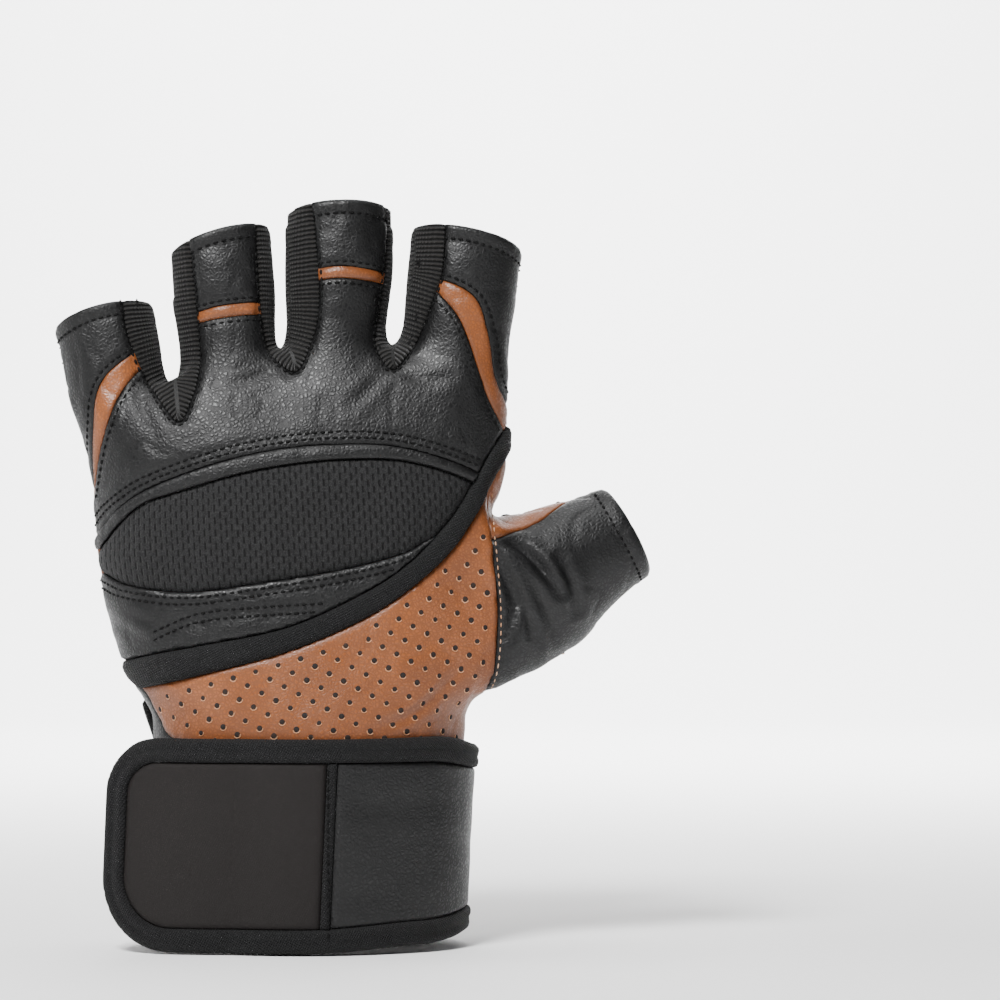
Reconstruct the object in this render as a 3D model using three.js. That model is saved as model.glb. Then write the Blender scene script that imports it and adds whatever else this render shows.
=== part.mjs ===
// A half-finger weightlifting glove for the left hand, with a wrist wrap, in millimetres.
// +Z runs up to the fingers, -Y is the back of the hand, +X is the thumb's side.
// The origin is the middle of the wrist opening.
import * as THREE from "three";

// Driving dimensions
const HAND_WIDTH = 104; // across the knuckles, outside
const HAND_HEIGHT = 181; // wrist opening to the middle finger's hem
const BACK_DEPTH = 22; // middle plane to the back of the hand, at the knuckles
const PALM_DEPTH = 22; // middle plane to the palm, at the knuckles
const FINGER_WIDTH = 27; // the middle finger's stall, outside
const FINGER_DEPTH = 25;
const THUMB_LENGTH = 38.5; // from the palm's side to the thumb's hem
const THUMB_WIDTH = 24; // at the hem
const LEATHER = 1.4; // the black leather's wall
const TAN_LEATHER = 1.6;
const KNIT = 1.5;
const MESH_CLOTH = 1.8;
const RIM_RAISE = 1; // how far a rolled edge or a binding stands proud
const PAD_THICKNESS = 1.4;
const SEAM_GAP = 0.36; // between two pieces that meet at a seam
const SEAT_GAP = 0.3; // under the hook tape
const STRAP_HEIGHT = 52;
const STRAP_THICKNESS = 2;
const STRAP_TAB_REACH = 48; // from the middle line to the tab's end
const STRAP_EASE = 0.8; // between the cuff and the wrap
const TAB_ROUND_UP = 14; // the tab's upper corner
const TAB_ROUND_LOW = 19;
const CUFF_WALL = 2;
const HOOK_LENGTH = 25; // the hook tape under the tab
const HOOK_THICKNESS = 1.2;
const PIPING_WIDTH = 2.4;
const PIPING_CLEAR = 8; // from the cuff's top to the piping's end, clear of the wrap
const PAD_SEAT = 0.6; // under a pad, which spans the bends of what it lies on
const BINDING_WIDTH = 5.8;
const PATCH_LENGTH = 50.5;
const SEAM_STRIP_WIDTH = 2.4;
const SEAM_STEP = 2.5; // how finely a seam's curve is followed
const SNAP = 0.12; // a corner this near a seam is moved onto it
const SIDE_SPAN = 12; // how far the side value of 1 lies from the hand's side, along the surface
const SIDE_BLEND = 1.2; // how quickly the palm's seams take over from the back's
const SIDE_WRAP = 2.2; // how far the back's pieces reach round the side towards the palm
const HEM_RISE = 0.9; // how far a finger's hem stands higher on the back and lower on the palm
const HEM_DIP = 1.7; // how far it dips between the fingers

// Finishes
const finish = (color, roughness) => ({ color, roughness, metalness: 0 });
const BLACK = finish(0x1b1b1d, 0.5);
const TAN = finish(0xb4693c, 0.55);
const KNITTED = finish(0x161617, 0.95);
const NETTED = finish(0x202022, 0.9);
const RUBBER = finish(0x303031, 0.6);
const TAPE = finish(0x121213, 0.85);
const BARE_PATCH = finish(0x2c2827, 0.55);

// Hand rings from the wrist opening to below the fingers. Height is a share of HAND_HEIGHT, left and
// right of HAND_WIDTH, back and palm of their depths, and round is the section's exponent.
const RINGS = [
  { height: 0.0, left: -0.365, right: 0.37, back: 1.21, palm: 1.21, round: 2 },
  { height: 0.255, left: -0.35, right: 0.395, back: 1.18, palm: 1.22, round: 2 },
  { height: 0.33, left: -0.395, right: 0.45, back: 1.14, palm: 1.26, round: 2.1 },
  { height: 0.42, left: -0.457, right: 0.478, back: 1.08, palm: 1.24, round: 2.2 },
  { height: 0.515, left: -0.49, right: 0.48, back: 1.03, palm: 1.12, round: 2.3 },
  { height: 0.605, left: -0.502, right: 0.484, back: 1.0, palm: 0.98, round: 2.4 },
  { height: 0.68, left: -0.522, right: 0.5, back: 0.9, palm: 0.86, round: 2.5 },
];
const THUMB_ROW = 2; // the ring where the thumb's mouth begins
// Fingers from the little one to the index. Root and tip are shares of HAND_WIDTH and HAND_HEIGHT,
// width and depth are shares of the middle finger's, curl is a share of the finger's depth, and
// slant is how far the hem rises towards the thumb's side, a share of the finger's half width.
const FINGERS = [
  { root: [-0.432, 0.74], tip: [-0.476, 0.856], width: 0.93, depth: 0.9, curl: 0.1, slant: 0.04 },
  { root: [-0.17, 0.785], tip: [-0.196, 0.96], width: 0.96, depth: 0.97, curl: 0.13, slant: 0.2 },
  { root: [0.09, 0.8], tip: [0.094, 1.0], width: 1.0, depth: 1.0, curl: 0.14, slant: 0.05 },
  { root: [0.371, 0.79], tip: [0.402, 0.962], width: 1.03, depth: 1.0, curl: 0.12, slant: -0.1 },
];
const FINGER_STEPS = [0, 0.45, 1];
// The web between two fingers, as shares of HAND_WIDTH and HAND_HEIGHT.
const WEBS = [
  { x: -0.3, z: 0.752 },
  { x: -0.046, z: 0.8 },
  { x: 0.219, z: 0.806 },
];
// Where the columns of a hand ring stand, as shares of its span, two for each finger.
const COLUMNS = [0.063, 0.168, 0.299, 0.416, 0.545, 0.668, 0.8, 0.932];
// Thumb rings. Along is a share of THUMB_LENGTH, width and depth of THUMB_WIDTH.
const THUMB_RINGS = [
  { along: 0.28, width: 1.62, depth: 1.34 },
  { along: 0.62, width: 1.28, depth: 1.14 },
  { along: 1, width: 1, depth: 0.94 },
];
// The thumb's root, as shares of HAND_WIDTH, PALM_DEPTH and HAND_HEIGHT.
const THUMB_BASE = { x: 0.47, y: 0.182, z: 0.449 };
const THUMB_LEAN = 0.5; // radians from level
const THUMB_FORWARD = 0.1; // how much it turns towards the palm

// Seams seen from the back of the hand. Each row is a point: x as a share of HAND_WIDTH, z of HAND_HEIGHT.
const BACK_SEAMS = {
  gap1: [[-0.423, 0.9], [-0.414, 0.84], [-0.394, 0.801], [-0.356, 0.753], [-0.288, 0.699],
    [-0.257, 0.729], [-0.243, 0.767], [-0.25, 0.843], [-0.272, 0.99]],
  gap2: [[-0.106, 1.01], [-0.096, 0.925], [-0.086, 0.843], [-0.066, 0.795], [-0.01, 0.769],
    [0.019, 0.798], [0.043, 0.849], [0.041, 0.919], [0.019, 1.03]],
  gap3: [[0.212, 1.03], [0.209, 0.925], [0.196, 0.856], [0.186, 0.808], [0.221, 0.772],
    [0.269, 0.808], [0.315, 0.87], [0.337, 0.912], [0.344, 0.99]],
  littleInlayTop: [[-0.3, 0.8], [-0.37, 0.799], [-0.413, 0.786], [-0.462, 0.762], [-0.486, 0.732],
    [-0.493, 0.691], [-0.5, 0.6]],
  littleInlayLow: [[-0.3, 0.772], [-0.351, 0.779], [-0.389, 0.765], [-0.428, 0.736],
    [-0.457, 0.698], [-0.478, 0.66], [-0.5, 0.6]],
  indexInlayTop: [[0.25, 0.897], [0.3, 0.898], [0.349, 0.892], [0.404, 0.877], [0.435, 0.855],
    [0.459, 0.808], [0.471, 0.76], [0.51, 0.715], [0.56, 0.67]],
  indexInlayLow: [[0.25, 0.88], [0.3, 0.886], [0.337, 0.87], [0.377, 0.843], [0.409, 0.804],
    [0.436, 0.758], [0.462, 0.72], [0.5, 0.68], [0.54, 0.64]],
  ringInlayTop: [[-0.32, 0.841], [-0.248, 0.85], [-0.18, 0.859], [-0.036, 0.868]],
  ringInlayLow: [[-0.32, 0.826], [-0.24, 0.836], [-0.168, 0.843], [-0.036, 0.851]],
  middleInlayTop: [[-0.04, 0.904], [0.034, 0.909], [0.12, 0.912], [0.28, 0.899]],
  middleInlayLow: [[-0.04, 0.889], [0.034, 0.893], [0.12, 0.896], [0.28, 0.883]],
  rollTop: [[-0.6, 0.46], [-0.488, 0.547], [-0.433, 0.58], [-0.337, 0.612], [-0.144, 0.649],
    [0.048, 0.666], [0.24, 0.663], [0.425, 0.629], [0.55, 0.58]],
  meshTop: [[-0.6, 0.44], [-0.483, 0.53], [-0.385, 0.582], [-0.288, 0.603], [-0.096, 0.633],
    [0.096, 0.647], [0.264, 0.644], [0.428, 0.612], [0.55, 0.56]],
  meshLow: [[-0.6, 0.515], [-0.483, 0.492], [-0.409, 0.475], [-0.264, 0.467], [-0.096, 0.479],
    [0.096, 0.497], [0.24, 0.518], [0.312, 0.539], [0.45, 0.58]],
  bindingTop: [[0.58, 0.76], [0.481, 0.681], [0.433, 0.635], [0.361, 0.566], [0.24, 0.497],
    [0.096, 0.449], [-0.048, 0.416], [-0.24, 0.394], [-0.385, 0.377], [-0.6, 0.345]],
  bindingLow: [[0.58, 0.735], [0.474, 0.632], [0.42, 0.572], [0.337, 0.509], [0.192, 0.444],
    [0, 0.393], [-0.192, 0.361], [-0.365, 0.336], [-0.6, 0.305]],
  thumbSeam: [[0.45, 0.7], [0.454, 0.566], [0.462, 0.511], [0.471, 0.428], [0.462, 0.359],
    [0.428, 0.297], [0.4, 0.2]],
  gusset: [[0.35, 0.537], [0.457, 0.54], [0.553, 0.559], [0.62, 0.584], [0.673, 0.61],
    [0.74, 0.68]],
  cuffTop: [[-0.6, 0.36], [-0.46, 0.35], [-0.38, 0.333], [-0.345, 0.3], [-0.3, 0.268],
    [-0.144, 0.256], [0.24, 0.256], [0.6, 0.25]],
};
// Seams seen from the palm, in the same frame.
const PALM_SEAMS = {
  gap1: [[-0.385, 0.9], [-0.372, 0.82], [-0.345, 0.766], [-0.302, 0.722], [-0.268, 0.76],
    [-0.262, 0.82], [-0.28, 0.99]],
  gap2: [[-0.11, 1.01], [-0.1, 0.9], [-0.085, 0.82], [-0.048, 0.778], [-0.01, 0.82],
    [0, 0.9], [-0.01, 1.03]],
  gap3: [[0.2, 1.03], [0.192, 0.9], [0.188, 0.83], [0.221, 0.786], [0.266, 0.83],
    [0.275, 0.9], [0.29, 0.99]],
  wave: [[0.66, 0.71], [0.47, 0.717], [0.376, 0.722], [0.281, 0.704], [0.217, 0.726],
    [0.126, 0.757], [0.036, 0.732], [-0.028, 0.725], [-0.131, 0.75], [-0.17, 0.748],
    [-0.222, 0.725], [-0.294, 0.7], [-0.363, 0.719], [-0.441, 0.713], [-0.5, 0.672], [-0.64, 0.62]],
  thenar: [[0.62, 0.68], [0.51, 0.58], [0.44, 0.533], [0.345, 0.505], [0.229, 0.458], [0.157, 0.378],
    [0.131, 0.297], [0.15, 0.2]],
  cuffTop: [[-0.6, 0.36], [-0.46, 0.352], [-0.36, 0.335], [-0.209, 0.296], [-0.054, 0.276],
    [0.049, 0.262], [0.178, 0.248], [0.358, 0.246], [0.6, 0.25]],
};
// Smooth pads on the palm, by their upper and lower edges from end to end.
const PALM_PADS = {
  palm_pad_upper: {
    upper: [[0.385, 0.653], [0.255, 0.675], [0.108, 0.702], [-0.003, 0.682], [-0.106, 0.701],
      [-0.247, 0.673], [-0.332, 0.68], [-0.4, 0.655]],
    lower: [[0.383, 0.646], [0.229, 0.646], [0.075, 0.646], [-0.054, 0.64], [-0.157, 0.634],
      [-0.26, 0.622], [-0.338, 0.612], [-0.4, 0.635]],
  },
  palm_pad_middle: {
    upper: [[0.387, 0.613], [0.204, 0.616], [0.049, 0.616], [-0.131, 0.605], [-0.273, 0.572],
      [-0.35, 0.52], [-0.375, 0.462], [-0.345, 0.429]],
    lower: [[0.387, 0.595], [0.204, 0.591], [0.101, 0.583], [-0.028, 0.553], [-0.118, 0.521],
      [-0.196, 0.483], [-0.26, 0.444], [-0.315, 0.424]],
  },
  palm_pad_lower: {
    upper: [[0.389, 0.566], [0.204, 0.565], [0.023, 0.54], [-0.131, 0.473], [-0.26, 0.407],
      [-0.34, 0.36]],
    lower: [[0.389, 0.545], [0.178, 0.529], [0.023, 0.485], [-0.067, 0.426], [-0.144, 0.366],
      [-0.23, 0.33]],
  },
  palm_pad_heel: {
    upper: [[0.068, 0.457], [-0.015, 0.411], [-0.068, 0.36], [-0.075, 0.315]],
    lower: [[0.09, 0.45], [0.072, 0.4], [0.036, 0.356], [-0.01, 0.308]],
  },
  thumb_pad_base: {
    upper: [[0.475, 0.49], [0.478, 0.44], [0.46, 0.39], [0.425, 0.345]],
    lower: [[0.42, 0.49], [0.412, 0.44], [0.395, 0.395], [0.37, 0.35]],
  },
  thumb_pad_tip: {
    upper: [[0.64, 0.565], [0.7, 0.545], [0.725, 0.51]],
    lower: [[0.61, 0.54], [0.63, 0.5], [0.665, 0.47]],
  },
};
// Oval pads on the fingers' palm side: middle, half axes in shares of FINGER_WIDTH, tilt in radians.
const OVALS = [
  { name: "oval_pad_index_upper", x: 0.394, z: 0.82, long: 0.27, short: 0.15, tilt: 0.15 },
  { name: "oval_pad_index_lower", x: 0.384, z: 0.75, long: 0.26, short: 0.14, tilt: 0.08 },
  { name: "oval_pad_middle_upper", x: 0.085, z: 0.881, long: 0.23, short: 0.13, tilt: -0.08 },
  { name: "oval_pad_middle_lower", x: 0.09, z: 0.813, long: 0.25, short: 0.15, tilt: -0.15 },
  { name: "oval_pad_ring_upper", x: -0.18, z: 0.848, long: 0.24, short: 0.14, tilt: 0 },
  { name: "oval_pad_ring_lower", x: -0.17, z: 0.783, long: 0.24, short: 0.14, tilt: 0 },
  { name: "oval_pad_little", x: -0.44, z: 0.758, long: 0.24, short: 0.14, tilt: -0.3 },
];
// The wrap's plan from its sewn end at the palm's little side, round the thumb's side and over the
// back to its tab. Turn is an angle from +X towards the back, up and low are the edges' rises from
// their middle heights, as shares of STRAP_HEIGHT.
const STRAP_STATIONS = [
  { turn: -2.8, up: 0.16, low: 0.12 },
  { turn: -2.3, up: 0.12, low: 0.06 },
  { turn: -1.57, up: 0.02, low: 0.02 },
  { turn: -0.9, up: -0.04, low: 0.04 },
  { turn: 0, up: -0.05, low: 0.07 },
  { turn: 0.8, up: 0.0, low: 0.03 },
  { turn: 1.57, up: 0.0, low: 0.0 },
  { turn: 2.0, up: 0.0, low: 0.0 },
];
const STRAP_MIDDLE = 0.127; // height of the wrap's middle line, a share of HAND_HEIGHT
const STRAP_START = STRAP_STATIONS[0].turn;
const STRAP_LEAVE = STRAP_STATIONS[STRAP_STATIONS.length - 1].turn; // where the tab leaves the cuff
const STRAP_STEPS = 16;
const TAB_STEPS = 5;
const TAB_BEND = 0.3; // how far the tab bends back towards the hand, a share of its reach
const STRAP_ROWS = [0, 0.12, 0.5, 0.88, 1];
const PAD_SHARES = [0, 0.5, 1]; // points across a palm pad
const PAD_STEP = 7;
const OVAL_RINGS = [0.5, 1];
const OVAL_SIDES = 12;

// Catmull-Clark subdivision of a net of faces. A point is any row of numbers, so what it carries
// beside its place is smoothed as well.
function subdivide({ points, faces }) {
  const mix = (rows) => rows[0].map((_, k) => rows.reduce((s, r) => s + r[k], 0) / rows.length);
  const middles = faces.map((f) => mix(f.map((i) => points[i])));
  const edges = new Map();
  faces.forEach((f, n) =>
    f.forEach((a, k) => {
      const b = f[(k + 1) % f.length];
      const key = a < b ? `${a} ${b}` : `${b} ${a}`;
      if (!edges.has(key)) edges.set(key, { ends: [a, b], sides: [] });
      edges.get(key).sides.push(n);
    }),
  );
  const around = points.map(() => ({ faces: [], edges: [], rim: [] }));
  faces.forEach((f, n) => f.forEach((i) => around[i].faces.push(middles[n])));
  for (const { ends, sides } of edges.values())
    for (const [i, j] of [ends, [ends[1], ends[0]]]) {
      around[i].edges.push(mix([points[i], points[j]]));
      if (sides.length < 2) around[i].rim.push(points[j]);
    }
  const moved = points.map((p, i) => {
    const near = around[i];
    if (!near.faces.length) return p;
    if (near.rim.length) {
      const rim = mix(near.rim);
      return p.map((v, k) => 0.75 * v + 0.25 * rim[k]);
    }
    const n = near.faces.length;
    const face = mix(near.faces);
    const edge = mix(near.edges);
    return p.map((v, k) => (face[k] + 2 * edge[k] + (n - 3) * v) / n);
  });
  const out = [...moved];
  const cut = new Map();
  for (const [key, { ends, sides }] of edges) {
    cut.set(key, out.length);
    const around2 = sides.length < 2 ? [] : sides.map((n) => middles[n]);
    out.push(mix([...ends.map((i) => points[i]), ...around2]));
  }
  const firstMiddle = out.length;
  out.push(...middles);
  const quads = [];
  faces.forEach((f, n) =>
    f.forEach((a, k) => {
      const b = f[(k + 1) % f.length];
      const z = f[(k + f.length - 1) % f.length];
      const ab = cut.get(a < b ? `${a} ${b}` : `${b} ${a}`);
      const za = cut.get(z < a ? `${z} ${a}` : `${a} ${z}`);
      quads.push([a, ab, firstMiddle + n, za]);
    }),
  );
  return { points: out, faces: quads };
}

// The glove's outer surface as a cage: x, y, z and side, which is -1 on the back and 1 on the palm.
function handCage() {
  const points = [];
  const faces = [];
  const add = (x, y, z, side) => points.push([x, y, z, side]) - 1;
  const quad = (a, b, c, d) => faces.push([a, b, c, d]);
  const rings = RINGS.map((r) => {
    const left = r.left * HAND_WIDTH;
    const span = (r.right - r.left) * HAND_WIDTH;
    const z = r.height * HAND_HEIGHT;
    const bulge = (s) => (1 - Math.abs(2 * s - 1) ** r.round) ** (1 / r.round);
    const back = COLUMNS.map((s) => add(left + span * s, -r.back * BACK_DEPTH * bulge(s), z, -1));
    const palm = COLUMNS.map((s) => add(left + span * s, r.palm * PALM_DEPTH * bulge(s), z, 1));
    return { left: add(left, 0, z, 0), right: add(left + span, 0, z, 0), back, palm };
  });
  const loop = (r) => [r.left, ...r.back, r.right, ...[...r.palm].reverse()];
  const isThumb = (row, k) => row >= THUMB_ROW && row < THUMB_ROW + 3 && (k === 8 || k === 9);
  for (let row = 0; row + 1 < rings.length; row++) {
    const low = loop(rings[row]);
    const high = loop(rings[row + 1]);
    for (let k = 0; k < low.length; k++) {
      const n = (k + 1) % low.length;
      if (!isThumb(row, k)) quad(low[k], low[n], high[n], high[k]);
    }
  }
  const webs = WEBS.map((w) => add(w.x * HAND_WIDTH, 0, w.z * HAND_HEIGHT, 0));
  const roots = FINGERS.map((f, n) => {
    const root = new THREE.Vector3(f.root[0] * HAND_WIDTH, 0, f.root[1] * HAND_HEIGHT);
    const tip = new THREE.Vector3(f.tip[0] * HAND_WIDTH, f.curl * FINGER_DEPTH, f.tip[1] * HAND_HEIGHT);
    const axis = tip.clone().sub(root).normalize();
    const across = new THREE.Vector3(axis.z, 0, -axis.x).normalize();
    const wide = (f.width * FINGER_WIDTH) / 2;
    const deep = (f.depth * FINGER_DEPTH) / 2;
    let below = null;
    for (const step of FINGER_STEPS) {
      const middle = root.clone().lerp(tip, step);
      const place = (turn, side) => {
        const aside = Math.cos(turn);
        const lift = f.slant * wide * aside + HEM_RISE * Math.sin(turn) - HEM_DIP * aside * aside;
        const p = middle.clone().addScaledVector(across, wide * aside).addScaledVector(axis, lift * step);
        return add(p.x, p.y - deep * Math.sin(turn), p.z, side);
      };
      const third = Math.PI / 3;
      const left = step === 0 && n > 0 ? webs[n - 1] : place(Math.PI, 0);
      const right = step === 0 && n < 3 ? webs[n] : place(0, 0);
      const ring = [left, place(2 * third, -1), place(third, -1), right,
        place(-third, 1), place(-2 * third, 1)];
      if (below) ring.forEach((_, k) => {
        const m = (k + 1) % 6;
        quad(below[k], below[m], ring[m], ring[k]);
      });
      below = ring;
      if (step === 0) f.ring = ring;
    }
    return f.ring;
  });
  const top = rings[rings.length - 1];
  quad(top.left, top.back[0], roots[0][1], roots[0][0]);
  quad(top.palm[0], top.left, roots[0][0], roots[0][5]);
  quad(top.back[7], top.right, roots[3][3], roots[3][2]);
  quad(top.right, top.palm[7], roots[3][4], roots[3][3]);
  roots.forEach((root, n) => {
    quad(top.back[2 * n], top.back[2 * n + 1], root[2], root[1]);
    quad(top.palm[2 * n + 1], top.palm[2 * n], root[5], root[4]);
    if (n === 3) return;
    const next = roots[n + 1];
    quad(top.back[2 * n + 1], top.back[2 * n + 2], next[1], root[2]);
    faces.push([root[2], next[1], webs[n]]);
    quad(top.palm[2 * n + 2], top.palm[2 * n + 1], root[4], next[5]);
    faces.push([next[5], root[4], webs[n]]);
  });
  addThumb(points, faces, rings);
  return { points, faces };
}

// The thumb's stall grows out of a hole in the hand's right side.
function addThumb(points, faces, rings) {
  const [low, midLow, midHigh, high] = rings.slice(THUMB_ROW, THUMB_ROW + 4);
  const mouth = [high.right, high.palm[7], midHigh.palm[7], midLow.palm[7], low.palm[7],
    low.right, low.back[7], midLow.back[7], midHigh.back[7], high.back[7]];
  const axis = new THREE.Vector3(Math.cos(THUMB_LEAN), THUMB_FORWARD, Math.sin(THUMB_LEAN));
  axis.normalize();
  const up = new THREE.Vector3(-axis.z, 0, axis.x).normalize();
  const palmward = up.clone().cross(axis);
  const base = new THREE.Vector3(
    THUMB_BASE.x * HAND_WIDTH,
    THUMB_BASE.y * PALM_DEPTH,
    THUMB_BASE.z * HAND_HEIGHT,
  );
  let below = mouth;
  for (const r of THUMB_RINGS) {
    const middle = base.clone().addScaledVector(axis, r.along * THUMB_LENGTH);
    const ring = mouth.map((_, k) => {
      const turn = (2 * Math.PI * k) / mouth.length;
      const p = middle.clone()
        .addScaledVector(up, (Math.cos(turn) * r.width * THUMB_WIDTH) / 2)
        .addScaledVector(palmward, (Math.sin(turn) * r.depth * THUMB_WIDTH) / 2);
      return points.push([p.x, p.y, p.z, Math.sign(Math.round(3 * Math.sin(turn)))]) - 1;
    });
    below.forEach((_, k) => {
      const n = (k + 1) % below.length;
      faces.push([below[k], ring[k], ring[n], below[n]]);
    });
    below = ring;
  }
}

// The cage is pushed out until its smooth surface passes through the sizes given above. The net has
// the corners of one subdivision, each moved onto the smooth surface, with its normal there.
function handNet() {
  const target = handCage();
  const cage = { points: target.points.map((p) => [...p]), faces: target.faces };
  for (let pass = 0; pass < 5; pass++) {
    const smooth = subdivide(subdivide(cage)).points;
    cage.points.forEach((p, i) => {
      for (let k = 0; k < 3; k++) p[k] += target.points[i][k] - smooth[i][k];
    });
  }
  const once = subdivide(cage);
  const fine = subdivide(subdivide(once));
  const normals = fine.points.map(() => new THREE.Vector3());
  const at = (i) => new THREE.Vector3(...fine.points[i].slice(0, 3));
  for (const [a, b, c, d] of fine.faces) {
    const n = at(c).sub(at(a)).cross(at(d).sub(at(b)));
    for (const i of [a, b, c, d]) normals[i].add(n);
  }
  const points = fine.points.map((p, i) => [...p, ...normals[i].normalize().toArray()]);
  const halves = (faces) => faces.flatMap(([a, b, c, d]) => [[a, b, c], [a, c, d]]);
  return {
    net: { points: points.slice(0, once.points.length), triangles: halves(once.faces) },
    smooth: { points, triangles: halves(fine.faces) },
  };
}

// The signed distance to a smooth curve through rows of shares, positive on its left, with straight
// ends that run on.
function distanceTo(rows) {
  const corners = rows.map(([x, z]) => new THREE.Vector2(x * HAND_WIDTH, z * HAND_HEIGHT));
  const curve = new THREE.SplineCurve(corners);
  const path = curve.getPoints(Math.ceil(curve.getLength() / SEAM_STEP) + corners.length);
  return (x, z) => {
    let best = Infinity;
    let signed = 0;
    for (let i = 0; i + 1 < path.length; i++) {
      const ax = path[i + 1].x - path[i].x;
      const az = path[i + 1].y - path[i].y;
      const px = x - path[i].x;
      const pz = z - path[i].y;
      let t = (px * ax + pz * az) / (ax * ax + az * az);
      if (i > 0) t = Math.max(t, 0);
      if (i + 2 < path.length) t = Math.min(t, 1);
      const gap = Math.hypot(px - t * ax, pz - t * az);
      if (gap < best - 1e-9) {
        best = gap;
        signed = Math.sign(ax * pz - az * px) * gap;
      }
    }
    return signed;
  };
}

// The part of a net where value is below zero, cut cleanly along its zero line.
function trim(net, value) {
  const worth = net.points.map((p) => {
    const v = value(p) + SEAM_GAP / 2;
    return Math.abs(v) < SNAP ? 0 : v;
  });
  const points = [...net.points];
  const crossings = new Map();
  const cross = (a, b) => {
    const key = a < b ? `${a} ${b}` : `${b} ${a}`;
    if (!crossings.has(key)) {
      const t = worth[a] / (worth[a] - worth[b]);
      crossings.set(key, points.push(points[a].map((v, k) => v + t * (points[b][k] - v))) - 1);
    }
    return crossings.get(key);
  };
  const triangles = [];
  for (const t of net.triangles) {
    if (!t.some((i) => worth[i] < 0)) continue;
    const ring = [];
    t.forEach((a, k) => {
      const b = t[(k + 1) % 3];
      if (worth[a] <= 0) ring.push(a);
      if (worth[a] * worth[b] < 0) ring.push(cross(a, b));
    });
    for (let k = 1; k + 1 < ring.length; k++) triangles.push([ring[0], ring[k], ring[k + 1]]);
  }
  return { points, triangles };
}

// The directed edges that only one triangle has.
function rimOf(triangles) {
  const seen = new Set(triangles.flatMap((t) => t.map((a, k) => `${a} ${t[(k + 1) % 3]}`)));
  return [...seen].map((e) => e.split(" ").map(Number)).filter(([a, b]) => !seen.has(`${b} ${a}`));
}

// The largest connected stretch of a net, with no corner where two stretches only touch.
function largest({ points, triangles }) {
  let kept = triangles;
  for (;;) {
    const owner = new Map();
    kept.forEach((t, n) => t.forEach((a, k) => owner.set(`${a} ${t[(k + 1) % 3]}`, n)));
    const group = kept.map(() => -1);
    const sizes = [];
    kept.forEach((_, start) => {
      if (group[start] >= 0) return;
      const stack = [start];
      group[start] = sizes.length;
      let count = 0;
      while (stack.length) {
        const n = stack.pop();
        count++;
        kept[n].forEach((a, k) => {
          const other = owner.get(`${kept[n][(k + 1) % 3]} ${a}`);
          if (other !== undefined && group[other] < 0) {
            group[other] = sizes.length;
            stack.push(other);
          }
        });
      }
      sizes.push(count);
    });
    const main = sizes.indexOf(Math.max(...sizes));
    kept = kept.filter((_, n) => group[n] === main);
    const leaving = new Map();
    for (const [a] of rimOf(kept)) leaving.set(a, (leaving.get(a) ?? 0) + 1);
    const pinched = [...leaving].filter(([, n]) => n > 1).map(([a]) => a);
    if (!pinched.length) return { points, triangles: kept };
    kept = kept.filter((t) => !t.some((a) => pinched.includes(a)));
  }
}

// A net becomes a wall between two offsets along its normals, and a named mesh.
function wall(name, net, look, inner, outer) {
  const { points, triangles } = largest(net);
  const used = [...new Set(triangles.flat())];
  const slot = new Map(used.map((i, n) => [i, n]));
  const places = [];
  for (const offset of [outer, inner])
    for (const i of used) {
      const [x, y, z, , nx, ny, nz] = points[i];
      const grow = offset / Math.hypot(nx, ny, nz);
      places.push(x + nx * grow, y + ny * grow, z + nz * grow);
    }
  const under = used.length;
  const index = [];
  for (const t of triangles) {
    const [a, b, c] = t.map((i) => slot.get(i));
    index.push(a, b, c, under + c, under + b, under + a);
  }
  for (const [p, q] of rimOf(triangles)) {
    const [a, b] = [slot.get(p), slot.get(q)];
    index.push(b, a, under + a, b, under + a, under + b);
  }
  return meshFrom(name, places, index, look);
}

function meshFrom(name, places, index, look) {
  const geometry = new THREE.BufferGeometry();
  geometry.setAttribute("position", new THREE.Float32BufferAttribute(places, 3));
  geometry.setIndex(index);
  geometry.computeVertexNormals();
  const mesh = new THREE.Mesh(geometry, new THREE.MeshStandardMaterial(look));
  mesh.name = name;
  return mesh;
}

// The palm's surface point, with its side and normal, that lies behind x and z.
function onPalmAt(smooth, x, z) {
  let best = null;
  for (const t of smooth.triangles) {
    const [a, b, c] = t.map((i) => smooth.points[i]);
    if (a[3] + b[3] + c[3] < 0) continue;
    const area = (b[0] - a[0]) * (c[2] - a[2]) - (c[0] - a[0]) * (b[2] - a[2]);
    if (Math.abs(area) < 1e-9) continue;
    const u = ((x - a[0]) * (c[2] - a[2]) - (c[0] - a[0]) * (z - a[2])) / area;
    const v = ((b[0] - a[0]) * (z - a[2]) - (x - a[0]) * (b[2] - a[2])) / area;
    if (u < -1e-6 || v < -1e-6 || u + v > 1 + 1e-6) continue;
    const hit = a.map((w, k) => w + u * (b[k] - w) + v * (c[k] - w));
    if (!best || hit[1] > best[1]) best = hit;
  }
  return best;
}

// Turns a net's triangles so that they face the way its normals point.
function faceOut({ points, triangles }) {
  const at = (i) => new THREE.Vector3(...points[i].slice(0, 3));
  const facing = triangles.reduce((sum, [a, b, c]) => {
    const n = at(b).sub(at(a)).cross(at(c).sub(at(a)));
    return sum + n.dot(new THREE.Vector3(...points[a].slice(4, 7)));
  }, 0);
  return { points, triangles: facing > 0 ? triangles : triangles.map(([a, b, c]) => [a, c, b]) };
}

// A net over a grid of points, rows[i][j].
function gridNet(rows) {
  const across = rows[0].length;
  const triangles = [];
  for (let i = 0; i + 1 < rows.length; i++)
    for (let j = 0; j + 1 < across; j++) {
      const a = i * across + j;
      triangles.push([a, a + across, a + across + 1], [a, a + across + 1, a + 1]);
    }
  return faceOut({ points: rows.flat(), triangles });
}

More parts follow.
